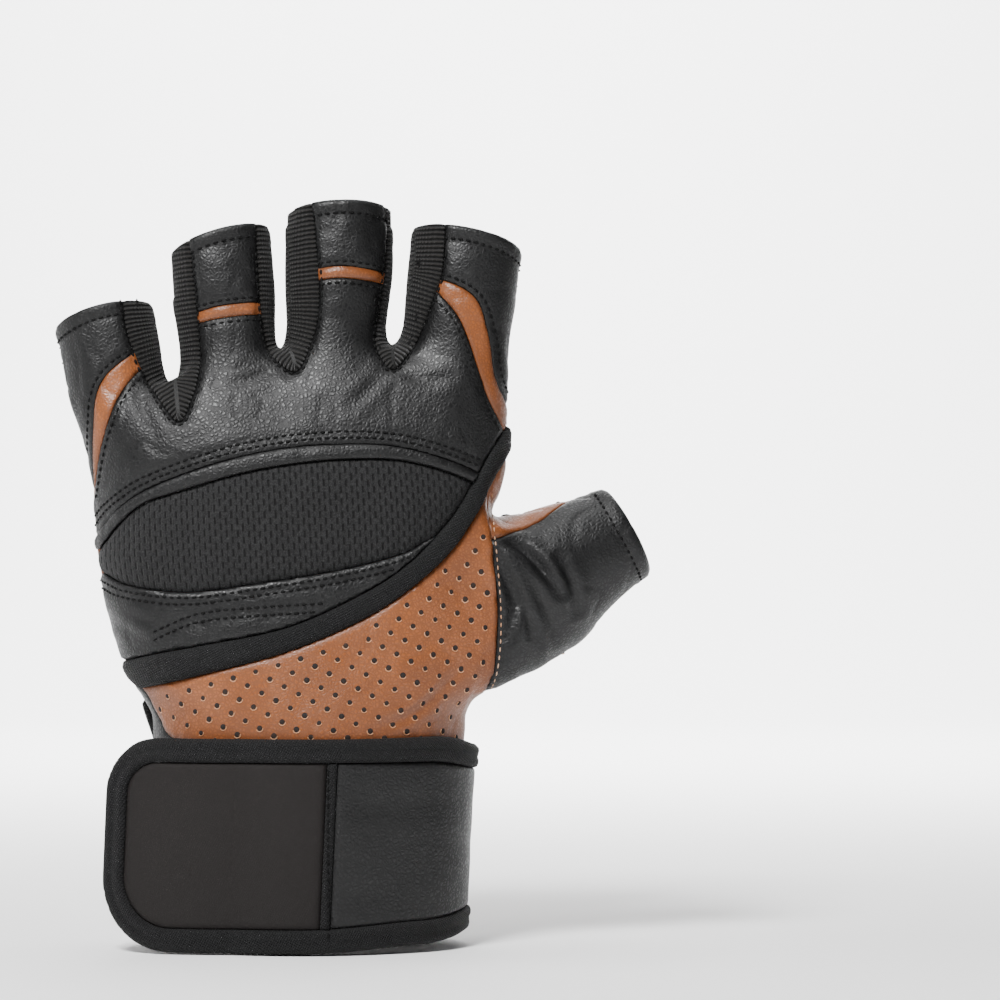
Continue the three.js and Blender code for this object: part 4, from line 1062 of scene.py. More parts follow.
def on_oval(name: str, share: Points | float, turn: Points, grow: float = 0.0) -> Points:
    """Places on an oval pad.

    Args:
        name: the pad.
        share: how far out they are, 1 at its edge.
        turn: the angle from its long axis.
        grow: how much the edge is moved out.

    Returns:
        x and z in millimetres.
    """
    x, z, long, short, tilt = OVALS[name]
    a = (long * FINGER_WIDTH + grow) * share * np.cos(turn)
    b = (short * FINGER_WIDTH + grow) * share * np.sin(turn)
    return np.stack(
        [
            x * HAND_WIDTH + a * math.cos(tilt) - b * math.sin(tilt),
            z * HAND_HEIGHT + a * math.sin(tilt) + b * math.cos(tilt),
        ],
        axis=1,
    )


def oval_ring(name: str, grow: float) -> Points:
    """The closed outline of an oval pad, moved out by grow."""
    return on_oval(name, 1.0, np.linspace(0, 2 * math.pi, 97), grow)


def palm_black_rows() -> list[Trail]:
    """The black stitch rows on the fingers' fronts."""
    ovals = [Trail(oval_ring(name, OVAL_ROW), Side.PALM) for name in OVALS]
    return hem_rows(Side.PALM, PALM_HEM_ROWS) + ovals + gap_rows(Side.PALM)


def palm_cream_rows() -> list[Trail]:
    """The cream stitch rows on the tan palm."""
    rows = [Trail(window.outline(PAD_ROW), Side.PALM) for window in WINDOWS.values()]
    rows += Trail.beside(PALM["wave"], Side.PALM, WAVE_ROW).where(right(PALM["thenar"], 2.5))
    on_hand = [left(PALM["wave"], WAVE_ROW), left(PALM["cuff_top"], 1.5)]
    for shift in THENAR_ROWS:
        rows += Trail.beside(PALM["thenar"], Side.PALM, shift).where(*on_hand)
    return rows


def back_cream_rows() -> list[Trail]:
    """The cream stitch row beside the thumb's seam on the back."""
    tests = (left(BACK["binding_low"], 0.8), left(BACK["cuff_top"], 1.0))
    return Trail.beside(BACK["thumb_seam"], Side.BACK, THUMB_SEAM_ROW).where(*tests)


def nearest(net: Net, trails: Sequence[Trail], reach: float) -> Points:
    """How far each point lies from the nearest line, FAR where that is beyond reach."""
    far = np.full(len(net.points), FAR)
    for trail in trails:
        far = np.minimum(far, trail.distance(net, reach))
    return far


def add_relief(net: Net) -> Points:
    """The leather's swells, creases and sewn grooves at every point of the hand.

    Args:
        net: the whole smooth surface.

    Returns:
        How far each point moves outwards.
    """
    places = net.places
    soft = 0.5 * lattice_noise(places, size=22, seed=1)
    soft = soft + 0.22 * lattice_noise(places, size=9, seed=2)
    creased = np.abs(lattice_noise(places * (1, 1, 0.8), size=6.5, seed=3))
    relief = soft - 0.22 * bell(creased, 0.12)
    for fold in FOLDS:
        relief += fold.relief(net)
    for trails, depth in (
        (back_rows() + thumb_rows() + palm_black_rows(), BLACK_GROOVE),
        (palm_cream_rows() + back_cream_rows(), CREAM_GROOVE),
    ):
        for side in Side:
            far = nearest(net, [trail for trail in trails if trail.side is side], 3.0)
            relief -= depth * bell(far, GROOVE_WIDTH) * side.weight(net)
    lips = [Trail(window.outline(0.9), Side.PALM) for window in WINDOWS.values()]
    relief += PAD_LIP * bell(nearest(net, lips, 4.0), 1.1)
    for name in OVALS:
        ring = Trail(oval_ring(name, 0.2), Side.PALM)
        relief += OVAL_LIP * bell(ring.distance(net, 4.0), 0.9)
    hem = net["hem"]
    return relief + HEM_LIP * np.clip((4.6 - hem) / 0.8, 0, 1) * (hem < NEAR_HEM)


@dataclass
class Wire:
    """A node's output, on which Python's operators add Math nodes."""

    tree: "Tree"
    socket: bpy.types.NodeSocket

    def _math(self, operation: str, *values: Any) -> "Wire":
        """Adds a Math node."""
        return self.tree.node("ShaderNodeMath", {"operation": operation}, dict(enumerate(values)))

    def __add__(self, other: Any) -> "Wire":
        """Sum."""
        return self._math("ADD", self, other)

    def __radd__(self, other: Any) -> "Wire":
        """Sum, reflected."""
        return self._math("ADD", other, self)

    def __sub__(self, other: Any) -> "Wire":
        """Difference."""
        return self._math("SUBTRACT", self, other)

    def __rsub__(self, other: Any) -> "Wire":
        """Difference, reflected."""
        return self._math("SUBTRACT", other, self)

    def __mul__(self, other: Any) -> "Wire":
        """Product."""
        return self._math("MULTIPLY", self, other)

    def __rmul__(self, other: Any) -> "Wire":
        """Product, reflected."""
        return self._math("MULTIPLY", other, self)

    def __truediv__(self, other: Any) -> "Wire":
        """Quotient."""
        return self._math("DIVIDE", self, other)

    def sine(self) -> "Wire":
        """Sine of the value."""
        return self._math("SINE", self)

    def absolute(self) -> "Wire":
        """The value without its sign."""
        return self._math("ABSOLUTE", self)

    def floor(self) -> "Wire":
        """The whole number below the value."""
        return self._math("FLOOR", self)

    def between(self, low: float, high: float) -> "Wire":
        """Runs smoothly from 0 at low to 1 at high."""
        return self.tree.node(
            "ShaderNodeMapRange",
            {"interpolation_type": "SMOOTHSTEP"},
            {"Value": self, "From Min": low, "From Max": high},
        )


@dataclass
class Tree:
    """A node tree that is written by one call for each node."""

    tree: bpy.types.NodeTree

    def node(
        self,
        kind: str,
        settings: dict[str, Any] | None = None,
        inputs: dict[Any, Any] | None = None,
        out: int | str = 0,
    ) -> Wire:
        """Adds a node.

        Args:
            kind: the node's type.
            settings: its own settings.
            inputs: values or wires by the input's name or number.
            out: the output that is wanted.

        Returns:
            That output.
        """
        made = self.tree.nodes.new(kind)
        for name, value in (settings or {}).items():
            setattr(made, name, value)
        for name, value in (inputs or {}).items():
            self.feed(made.inputs[name], value)
        return Wire(self, made.outputs[out]) if len(made.outputs) else Wire(self, made.inputs[0])

    def feed(self, socket: bpy.types.NodeSocket, value: Any) -> None:
        """Links a wire to a socket, or sets the socket's value."""
        if isinstance(value, Wire):
            self.tree.links.new(value.socket, socket)
        elif hasattr(value, "__len__") and len(value) == 3 and socket.type == "RGBA":
            socket.default_value = (*value, 1)
        else:
            socket.default_value = value

    def mix(self, share: Any, first: Any, second: Any) -> Wire:
        """A colour between two, by share."""
        return self.node("ShaderNodeMix", {"data_type": "RGBA"}, {0: share, 6: first, 7: second}, 2)

    def noise(self, place: Wire, scale: float, detail: float = 3.0, rough: float = 0.5) -> Wire:
        """Noise from 0 to 1."""
        return self.node(
            "ShaderNodeTexNoise", {}, {"Vector": place, "Scale": scale, "Detail": detail, "Roughness": rough}
        )

    def carried(self, name: str) -> Wire:
        """A number that the mesh carries at its points."""
        return self.node("ShaderNodeAttribute", {"attribute_name": name}, out="Fac")

    def flat(self) -> tuple[Wire, Wire]:
        """The two surface coordinates, 0.01 for each millimetre."""
        uv = self.node("ShaderNodeUVMap", {"uv_map": "surface"})
        x = self.node("ShaderNodeSeparateXYZ", {}, {0: uv}, "X")
        return x, Wire(self, x.socket.node.outputs["Y"])

    def warped(self, place: Wire, scale: float, amount: float) -> Wire:
        """A place moved about by noise."""
        swell = self.node("ShaderNodeTexNoise", {}, {"Vector": place, "Scale": scale, "Detail": 2.0}, "Color")
        offset = self.node("ShaderNodeVectorMath", {"operation": "SUBTRACT"}, {0: swell, 1: (0.5, 0.5, 0.5)})
        return self.node(
            "ShaderNodeVectorMath", {"operation": "MULTIPLY_ADD"}, {0: offset, 1: (amount,) * 3, 2: place}
        )

    def cells(self, place: Wire, scale: float, feature: str = "DISTANCE_TO_EDGE") -> Wire:
        """Distances in a pattern of cells."""
        return self.node("ShaderNodeTexVoronoi", {"feature": feature}, {"Vector": place, "Scale": scale})

    def bump(self, height: Wire, distance: float, strength: float = 1.0) -> Wire:
        """A normal that shows a height."""
        inputs = {"Height": height, "Distance": distance, "Strength": strength}
        return self.node("ShaderNodeBump", {}, inputs)


Colour = tuple[float, float, float]


@dataclass(frozen=True)
class Finish:
    """A material: its colours, gloss and what its surface shows."""

    name: str
    base: Colour
    other: Colour
    roughness: float = 0.5
    slot: str | None = None
    sheen: float = 0.0
    specular: float = 0.5

    def surface(self, t: Tree, place: Wire) -> dict[str, Any]:
        """What varies over the surface, by the shader's input.

        Args:
            t: the material's tree.
            place: Object coordinates.

        Returns:
            Values or wires for Base Color, Roughness and Normal.
        """
        blotch = t.noise(place, 90)
        return {
            "Base Color": t.mix(blotch.between(0.35, 0.7), self.base, self.other),
            "Roughness": self.roughness + (blotch - 0.5) * 0.1,
            "Normal": t.bump(t.noise(place, 3000), 0.0001, 0.5),
        }

    @cached_property
    def material(self) -> bpy.types.Material:
        """The Blender material, made once."""
        made = bpy.data.materials.new(self.name)
        made.use_nodes = True
        tree = made.node_tree
        tree.nodes.clear()
        t = Tree(tree)
        place = t.node("ShaderNodeTexCoord", out="Object")
        values: dict[str, Any] = {"Roughness": self.roughness, **self.surface(t, place)}
        values |= {"Sheen Weight": self.sheen, "Specular IOR Level": self.specular}
        shader = t.node("ShaderNodeBsdfPrincipled", {}, values)
        t.node("ShaderNodeOutputMaterial", {}, {"Surface": shader})
        made.diffuse_color = (*self.base, 1)
        return made


@dataclass(frozen=True)
class Leather(Finish):
    """Grained leather."""

    grain: float = 1.05  # the grain's size in millimetres
    relief: float = 0.082
    soft: float = 0.1

    def surface(self, t: Tree, place: Wire) -> dict[str, Any]:
        """Pebbled grain with valleys, soft wrinkles and a slow change of colour; painted shade darkens the
        valleys, and painted shade with some wear darkens the edges.
        """
        bent = t.warped(place, 700 / self.grain, 0.0007 * self.grain)
        edge = t.cells(bent, 1000 / self.grain)
        pebble = edge.between(0.0, 0.35)
        patchy = t.noise(place, 55, 4).between(0.3, 0.7)
        wrinkle = t.noise(t.warped(place, 60, 0.01), 260, 4, 0.6)
        height = pebble * (0.45 + patchy * 0.55) + wrinkle * 2.2
        # Painted shade, partly wear, near a panel's cut edge or a hem where the leather rolls down: full
        # within 0.2 mm, gone by 1.6 mm.
        edge_shade_and_wear = t.carried("edge").between(1.6, 0.2)
        shade = t.noise(place, 30, 5, 0.6).between(0.3, 0.75)
        colour = t.mix(shade, self.base, self.other)
        dark = tuple(0.5 * c for c in self.base)
        # Painted shade in the grain's valleys between the pebbles.
        colour = t.mix((1 - pebble) * 0.5, colour, dark)
        colour = t.mix(edge_shade_and_wear * 0.45, colour, dark)
        return {
            "Base Color": colour,
            "Roughness": self.roughness + (1 - pebble) * 0.16 + (patchy - 0.5) * self.soft,
            "Normal": t.bump(height, self.relief * MM),
        }


@dataclass(frozen=True)
class Knit(Finish):
    """Ribbed knit, whose ribs cross the gusset."""

    pitch: float = 1.15

    def surface(self, t: Tree, place: Wire) -> dict[str, Any]:
        """Ribs by the carried attribute, with a stitch along each; painted highlight on the ribs' crests and
        painted shade between them.
        """
        along, across = t.carried("rib"), t.carried("span")
        wobble = t.noise(place, 400, 2)
        turn = (along / self.pitch + wobble * 0.25) * (2 * math.pi)
        rib = turn.sine() * 0.5 + 0.5
        loops = (across * (2 * math.pi / 0.8) + turn.sine() * 1.2).sine() * 0.5 + 0.5
        height = rib + loops * rib * 0.4 + t.noise(place, 4000, 2) * 0.35
        return {
            # Painted highlight on the ribs' crests and painted shade between them: the colour follows the
            # ribs' height.
            "Base Color": t.mix(rib.between(0.2, 0.9), self.base, self.other),
            "Normal": t.bump(height, 0.55 * MM),
        }


@dataclass(frozen=True)
class NetCloth(Finish):
    """Padded mesh cloth with upright slits in staggered columns."""

    def surface(self, t: Tree, place: Wire) -> dict[str, Any]:
        """Slits darkened with painted shade, and a fine thread texture."""
        u, v = (part * 100 for part in t.flat())
        lean = u + v * 0.06
        column = lean / 1.35
        whole = column.floor()
        across = (column - whole - 0.5).absolute()
        odd = whole * 0.5 - (whole * 0.5).floor()
        row = v / 3.1 + odd + t.noise(place, 120, 1) * 0.3
        up = (row - row.floor() - 0.5).absolute()
        slit = (1 - across.between(0.1, 0.26)) * (1 - up.between(0.2, 0.34))
        groove = 1 - across.between(0.02, 0.3)
        weave = t.noise(place, 2600, 2)
        height = 1 - slit * 0.9 - groove * 0.25 + weave * 0.6
        colour = t.mix(weave.between(0.3, 0.7), self.base, self.other)
        return {
            # Painted shade in the slits, which the bump sinks: they are darkened towards a quarter of the
            # base colour.
            "Base Color": t.mix(slit * 0.85, colour, tuple(0.25 * c for c in self.base)),
            "Normal": t.bump(height, 0.4 * MM),
        }


@dataclass(frozen=True)
class Woven(Finish):
    """A closely woven tape, with threads that cross along its run."""

    thread: float = 0.45
    depth: float = 0.12

    def surface(self, t: Tree, place: Wire) -> dict[str, Any]:
        """A twill of fine threads with a little fuzz."""
        x, y = t.flat()
        step = 2 * math.pi * 100 / self.thread
        twill = ((x + y * 0.5) * step).sine() * 0.5 + 0.5
        weft = ((y - x * 0.5) * step).sine() * 0.5 + 0.5
        fuzz = t.noise(place, 2500, 3, 0.7)
        worn = t.noise(place, 80, 4)
        colour = t.mix(fuzz.between(0.35, 0.75) * 0.7 + worn * 0.3, self.base, self.other)
        return {
            "Base Color": colour,
            "Roughness": self.roughness + (worn - 0.5) * 0.15,
            "Normal": t.bump(twill * 0.6 + weft * 0.6 + fuzz, self.depth * MM),
        }


@dataclass(frozen=True)
class Rubber(Finish):
    """Smooth, slightly dusty rubber-like pads."""

    def surface(self, t: Tree, place: Wire) -> dict[str, Any]:
        """A faint pore texture and soft scuffs."""
        scuff = t.noise(t.warped(place, 90, 0.008), 200, 5, 0.65)
        pores = t.cells(place, 2600, "F1")
        return {
            "Base Color": t.mix(scuff.between(0.35, 0.75), self.base, self.other),
            "Roughness": self.roughness + (scuff - 0.5) * 0.25,
            "Normal": t.bump(pores * 0.5 + scuff, 0.06 * MM),
        }


@dataclass(frozen=True)
class Hooks(Finish):
    """The hook side of a touch fastener."""

    def surface(self, t: Tree, place: Wire) -> dict[str, Any]:
        """Rows of tiny hooks, with painted highlight on their tops and painted shade between them."""
        hooks = t.cells(place, 1100, "F1")
        return {
            # Painted highlight on the hooks' tops and painted shade between them: the colour follows the
            # hooks' height.
            "Base Color": t.mix(hooks.between(0.1, 0.6), self.other, self.base),
            "Normal": t.bump(1 - hooks.between(0.1, 0.6), 0.5 * MM),
        }


class Look(Enum):
    """The glove's finishes."""

    BLACK = Leather(
        "black_leather", (0.003, 0.003, 0.0032), (0.006, 0.006, 0.0063), 0.41, "black_leather",
        specular=0.38,
    )
    TAN = Leather(
        "tan_leather", (0.2, 0.056, 0.011), (0.33, 0.1, 0.026), 0.37, "tan_leather",
        specular=0.55, grain=0.9, relief=0.06, soft=0.16,
    )
    KNIT = Knit("ribbed_knit", (0.004, 0.004, 0.004), (0.018, 0.017, 0.016), 0.92, "knit", 0.08, 0.15)
    NET = NetCloth("mesh_cloth", (0.008, 0.008, 0.0083), (0.02, 0.02, 0.0205), 0.8, "net_cloth", 0.03, 0.2)
    PAD = Rubber("smooth_pad", (0.014, 0.014, 0.0145), (0.022, 0.022, 0.0225), 0.5, "pad", 0.0, 0.35)
    TAPE = Woven(
        "folded_tape", (0.0025, 0.0025, 0.0027), (0.017, 0.017, 0.0175), 0.75, "tape",
        0.02, 0.2, 0.62, 0.26,
    )
    PATCH = Woven(
        "bare_patch", (0.011, 0.0092, 0.0088), (0.014, 0.012, 0.0115), 0.62, "patch",
        0.0, 0.18, 0.3, 0.05,
    )
    HOOK = Hooks("hook_tape", (0.012, 0.012, 0.013), (0.035, 0.035, 0.036), 0.8, "hook")
    DARK_THREAD = Finish("black_thread", (0.0015, 0.0015, 0.0015), (0.004, 0.004, 0.004), 0.7, specular=0.15)
    DULL_THREAD = Finish("dull_thread", (0.46, 0.24, 0.13), (0.6, 0.38, 0.25), 0.7)
    CREAM_THREAD = Finish("cream_thread", (0.68, 0.53, 0.42), (0.8, 0.68, 0.57), 0.65)
    RAW_EDGE = Finish("raw_edge", (0.42, 0.27, 0.18), (0.62, 0.46, 0.34), 0.9)
    # The holes' dark discs are painted shade inside the punched holes.
    HOLE = Finish("punched_hole", (0.008, 0.005, 0.004), (0.02, 0.01, 0.006), 0.9)
    # The rims' colour, lighter than the tan leather, is a painted highlight on the holes' lit lower walls.
    HOLE_RIM = Finish("punched_rim", (0.5, 0.22, 0.1), (0.62, 0.32, 0.17), 0.42)

    @property
    def finish(self) -> Finish:
        """The finish itself."""
        return self.value


def make_object(
    name: str,
    places: Points,
    faces: Points | Sequence[Sequence[int]],
    look: Look,
    values: dict[str, Points] | None = None,
    uv: Points | None = None,
    edges: Sequence[Sequence[int]] = (),
) -> bpy.types.Object:
    """Makes a mesh object in metres at the origin.

    Args:
        name: the piece's name.
        places: its points, in millimetres.
        faces: the points of each face.
        look: its finish.
        values: numbers or vectors carried at the points.
        uv: the surface coordinates at the points.
        edges: loose edges, for a net of lines.

    Returns:
        The object.
    """
    mesh = bpy.data.meshes.new(name)
    if len(edges) or not len(faces):
        mesh.from_pydata((places * MM).tolist(), [tuple(e) for e in edges], [])
    else:
        faces = np.asarray(faces)
        mesh.vertices.add(len(places))
        mesh.vertices.foreach_set("co", (places * MM).astype(np.float32).ravel())
        mesh.loops.add(faces.size)
        mesh.loops.foreach_set("vertex_index", faces.astype(np.int32).ravel())
        mesh.polygons.add(len(faces))
        mesh.polygons.foreach_set("loop_start", np.arange(len(faces), dtype=np.int32) * faces.shape[1])
        mesh.update(calc_edges=True)
        mesh.polygons.foreach_set("use_smooth", np.ones(len(faces), bool))
    for key, rows in (values or {}).items():
        kind = "FLOAT_VECTOR" if rows.ndim == 2 else "FLOAT"
        made = mesh.attributes.new(key, kind, "POINT")
        made.data.foreach_set("vector" if rows.ndim == 2 else "value", rows.astype(np.float32).ravel())
    if uv is not None and len(mesh.loops):
        layer = mesh.uv_layers.new(name="surface")
        index = np.zeros(len(mesh.loops), np.int32)
        mesh.loops.foreach_get("vertex_index", index)
        layer.data.foreach_set("uv", (uv[index] * 0.01).astype(np.float32).ravel())
    mesh.materials.append(look.finish.material)
    mesh.validate()
    made_object = bpy.data.objects.new(name, mesh)
    bpy.context.scene.collection.objects.link(made_object)
    return made_object


def settle(piece: bpy.types.Object, look: Look | None, *nodes: str) -> bpy.types.Object:
    """Rides a piece on the glove, hides the solids that it replaces and logs its face count.

    Args:
        piece: the object.
        look: its finish; its slot is looked up and not used.
        nodes: the solids that it replaces.

    Returns:
        The object.
    """
    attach(piece, "root")
    if nodes:
        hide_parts(*nodes)
    if look and look.finish.slot:
        look.finish.slot
    log.info("%s: %d faces", piece.name, len(piece.data.polygons))
    return piece


@dataclass
class Skin:
    """The glove's outer faces, on which stitches, pads and holes are laid."""

    places: list[Points] = field(default_factory=list)
    faces: list[Points] = field(default_factory=list)
    count: int = 0

    def add(self, places: Points, faces: Points) -> None:
        """Adds a piece's outer faces."""
        self.places.append(places)
        self.faces.append(faces + self.count)
        self.count += len(places)
        self.__dict__.pop("tree", None)

    @cached_property
    def tree(self) -> BVHTree:
        """The faces in a form that rays can be cast at."""
        return BVHTree.FromPolygons(
            np.concatenate(self.places).tolist(), np.concatenate(self.faces).tolist()
        )

    def lay(self, line: Points, side: Side, lift: float = 0.0) -> tuple[Points, Points, Points]:
        """Lays places seen from one side on the surface.

        Args:
            line: x and z of each place.
            side: the side they are seen from.
            lift: how far above the surface they lie.

        Returns:
            The places, the surface's normals there, and which of them hit.
        """
        places, normals = np.zeros((len(line), 3)), np.zeros((len(line), 3))
        hit = np.zeros(len(line), bool)
        aim = Vector((0, -side.value, 0))
        for i, (x, z) in enumerate(line):
            found, normal, _, _ = self.tree.ray_cast(Vector((x, 90 * side.value, z)), aim)
            if found is None:
                continue
            if normal.dot(aim) > 0:
                normal = -normal
            hit[i] = (found.y - 4) * side.value > -16 and abs(normal.y) > 0.12
            places[i], normals[i] = found + normal * lift, normal
        return places, normals, hit


@dataclass
class Panel:
    """One cut piece of leather or cloth, as a wall with rolled edges."""

    name: str
    net: Net
    look: Look
    thickness: float
    raised: float = 0.0
    drop: float = 0.7
    roll: float = 1.5
    shape: Callable[[Net], Points] | None = None

    def build(self, skin: Skin | None) -> bpy.types.Object:
        """Makes the wall, which replaces the solid of its name.

        Args:
            skin: takes the outer faces, where things are laid on them.

        Returns:
            The object.
        """
        net = self.net.largest()
        hem = net["hem"]
        edge = np.minimum(net["edge"], np.where(hem < NEAR_HEM, np.maximum(hem, 0), FAR))
        ease = 1 - np.clip(edge / self.roll, 0, 1)
        relief = net["relief"]
        rise = self.raised - self.drop * (1 - np.sqrt(np.maximum(1 - ease**2, 0)))
        if self.shape is not None:
            rise = rise + self.shape(net)
        facing = net.facing()
        outer = net.places + facing * (rise + relief)[:, None]
        inner = net.places - facing * (self.thickness - np.minimum(relief, 0))[:, None]
        places, faces = shell(outer, inner, net.triangles, net.rim())
        both = lambda rows: np.concatenate([rows, rows])
        values = {"edge": both(edge), "rib": both(net["rib"]), "span": both(net["side"] * SIDE_SPAN)}
        uv = both(np.stack([net["run"], net["rise"]], axis=1))
        title = f"{self.name}_sewn"
        made = make_object(title, places, faces, self.look, values, uv)
        if skin is not None:
            skin.add(outer, net.triangles)
        return settle(made, self.look, self.name)


class Repeats:
    """Geometry Nodes trees for what repeats or follows a line."""

    @staticmethod
    def tree(
        name: str, sockets: dict[str, tuple[str, Any]]
    ) -> tuple[Tree, Callable[[str], Wire], dict[str, str]]:
        """Starts a tree with named inputs and a material.

        Args:
            name: the tree's name.
            sockets: the type and the first value of each input.

        Returns:
            The tree, what gives an input by its name, and the inputs' identifiers.
        """
        sockets = {**sockets, "Material": ("NodeSocketMaterial", None)}
        group = bpy.data.node_groups.new(name, "GeometryNodeTree")
        group.interface.new_socket("Geometry", in_out="OUTPUT", socket_type="NodeSocketGeometry")
        group.interface.new_socket("Geometry", in_out="INPUT", socket_type="NodeSocketGeometry")
        keys = {}
        for key, (kind, value) in sockets.items():
            made = group.interface.new_socket(key, in_out="INPUT", socket_type=kind)
            if value is not None:
                made.default_value = value
            keys[key] = made.identifier
        t, start = Tree(group), group.nodes.new("NodeGroupInput")
        return t, lambda key: Wire(t, start.outputs[key]), keys

    @staticmethod
    def facing(t: Tree) -> Wire:
        """The surface's normal, which the carrier has as "facing"."""
        settings = {"data_type": "FLOAT_VECTOR"}
        return t.node("GeometryNodeInputNamedAttribute", settings, {"Name": "facing"})

    @staticmethod
    def close(t: Tree, made: Wire, source: Callable[[str], Wire]) -> None:
        """Ends a tree in Realize Instances and Set Material."""
        real = t.node("GeometryNodeRealizeInstances", {}, {"Geometry": made})
        dressing = {"Geometry": real, "Material": source("Material")}
        done = t.node("GeometryNodeSetMaterial", {}, dressing)
        smooth = t.node("GeometryNodeSetShadeSmooth", {}, {"Geometry": done})
        end = t.tree.nodes.new("NodeGroupOutput")
        t.feed(end.inputs[0], smooth)

    @classmethod
    def stitch_tree(cls) -> tuple[bpy.types.NodeTree, dict[str, str]]:
        """Stitches along lines that carry the surface's normal as "facing"."""
        t, source, keys = cls.tree(
            "stitches",
            {
                "Pitch": ("NodeSocketFloat", 0.0025),
                "Size": ("NodeSocketVector", (0.0019, 0.0006, 0.0005)),
                "Seed": ("NodeSocketInt", 7),
            },
        )
        curve = t.node("GeometryNodeMeshToCurve", {}, {"Mesh": source("Geometry")})
        spacing = {"Curve": curve, "Length": source("Pitch")}
        even = t.node("GeometryNodeResampleCurve", {"mode": "LENGTH"}, spacing)
        bead = t.node("GeometryNodeMeshUVSphere", {}, {"Segments": 8, "Rings": 5, "Radius": 0.5}, "Mesh")
        thread = t.node("GeometryNodeTransform", {}, {"Geometry": bead, "Scale": source("Size")})
        tangent = t.node("GeometryNodeInputTangent")
        turn = t.node(
            "FunctionNodeAxesToRotation",
            {"primary_axis": "Z", "secondary_axis": "X"},
            {"Primary Axis": cls.facing(t), "Secondary Axis": tangent},
        )
        jitter = t.node(
            "FunctionNodeRandomValue",
            {"data_type": "FLOAT_VECTOR"},
            {0: (0.88, 0.85, 0.85), 1: (1.06, 1.12, 1.15), "Seed": source("Seed")},
        )
        laid = t.node(
            "GeometryNodeInstanceOnPoints",
            {},
            {"Points": even, "Instance": thread, "Rotation": turn, "Scale": jitter},
        )
        cls.close(t, laid, source)
        return t.tree, keys

    @classmethod
    def cord_tree(cls) -> tuple[bpy.types.NodeTree, dict[str, str]]:
        """A round bead that follows lines."""
        t, source, keys = cls.tree("bead_along_line", {"Radius": ("NodeSocketFloat", 0.0004)})
        curve = t.node("GeometryNodeMeshToCurve", {}, {"Mesh": source("Geometry")})
        ring = t.node("GeometryNodeCurvePrimitiveCircle", {}, {"Resolution": 8, "Radius": source("Radius")})
        swept = t.node(
            "GeometryNodeCurveToMesh", {}, {"Curve": curve, "Profile Curve": ring, "Fill Caps": True}
        )
        cls.close(t, swept, source)
        return t.tree, keys

    @classmethod
    def hole_tree(cls, rim: bool) -> tuple[bpy.types.NodeTree, dict[str, str]]:
        """Punched holes at points that carry the surface's normal as "facing": dark discs of painted shade,
        and part rims coloured lighter as painted highlight.

        Args:
            rim: whether the tree makes the pressed rims, which are coloured as painted highlight, or the dark
                discs of painted shade inside them.

        Returns:
            The tree and its inputs' identifiers.
        """
        sockets = {"Radius": ("NodeSocketFloat", 0.0006), "Seed": ("NodeSocketInt", 3)}
        if rim:
            sockets["Begin"] = ("NodeSocketFloat", 0.0)
        t, source, keys = cls.tree("punched_rims" if rim else "punched_holes", sockets)
        if rim:
            values = {"Resolution": 10, "Radius": source("Radius")}
            values |= {"Start Angle": source("Begin"), "Sweep Angle": RIM_SWEEP}
            ring = t.node("GeometryNodeCurveArc", {}, values)
            lip = t.node("GeometryNodeCurvePrimitiveCircle", {}, {"Resolution": 5, "Radius": 0.00013})
            shape = t.node("GeometryNodeCurveToMesh", {}, {"Curve": ring, "Profile Curve": lip})
        else:
            values = {"Segments": 12, "Rings": 4, "Radius": source("Radius")}
            disc = t.node("GeometryNodeMeshUVSphere", {}, values, "Mesh")
            shape = t.node("GeometryNodeTransform", {}, {"Geometry": disc, "Scale": (1, 1, 0.12)})
        turn = t.node("FunctionNodeAlignRotationToVector", {"axis": "Z"}, {"Vector": cls.facing(t)})
        limits = {2: 0.88, 3: 1.1, "Seed": source("Seed")}
        size = t.node("FunctionNodeRandomValue", {"data_type": "FLOAT"}, limits, 1)
        spots = t.node("GeometryNodeMeshToPoints", {}, {"Mesh": source("Geometry")})
        laid = t.node(
            "GeometryNodeInstanceOnPoints",
            {},
            {"Points": spots, "Instance": shape, "Rotation": turn, "Scale": size},
        )
        cls.close(t, laid, source)
        return t.tree, keys


def grown(
    name: str,
    carrier: bpy.types.Object,
    made: tuple[bpy.types.NodeTree, dict[str, str]],
    look: Look,
    **sizes: Any,
) -> bpy.types.Object:
    """Runs a Geometry Nodes tree on a carrier and keeps the result as a plain mesh.

    Args:
        name: the piece's name.
        carrier: lines or points, which are used up.
        made: the tree and its inputs' identifiers.
        look: the piece's finish.
        sizes: the tree's inputs by name.

    Returns:
        The settled piece.
    """
    tree, keys = made
    modifier = carrier.modifiers.new("repeats", "NODES")
    modifier.node_group = tree
    for key, value in {**sizes, "Material": look.finish.material}.items():
        modifier[keys[key]] = value
    graph = bpy.context.evaluated_depsgraph_get()
    mesh = bpy.data.meshes.new_from_object(carrier.evaluated_get(graph), depsgraph=graph)
    carrier.modifiers.remove(modifier)
    bpy.data.objects.remove(carrier)
    mesh.name = name
    piece = bpy.data.objects.new(name, mesh)
    bpy.context.scene.collection.objects.link(piece)
    return settle(piece, look)


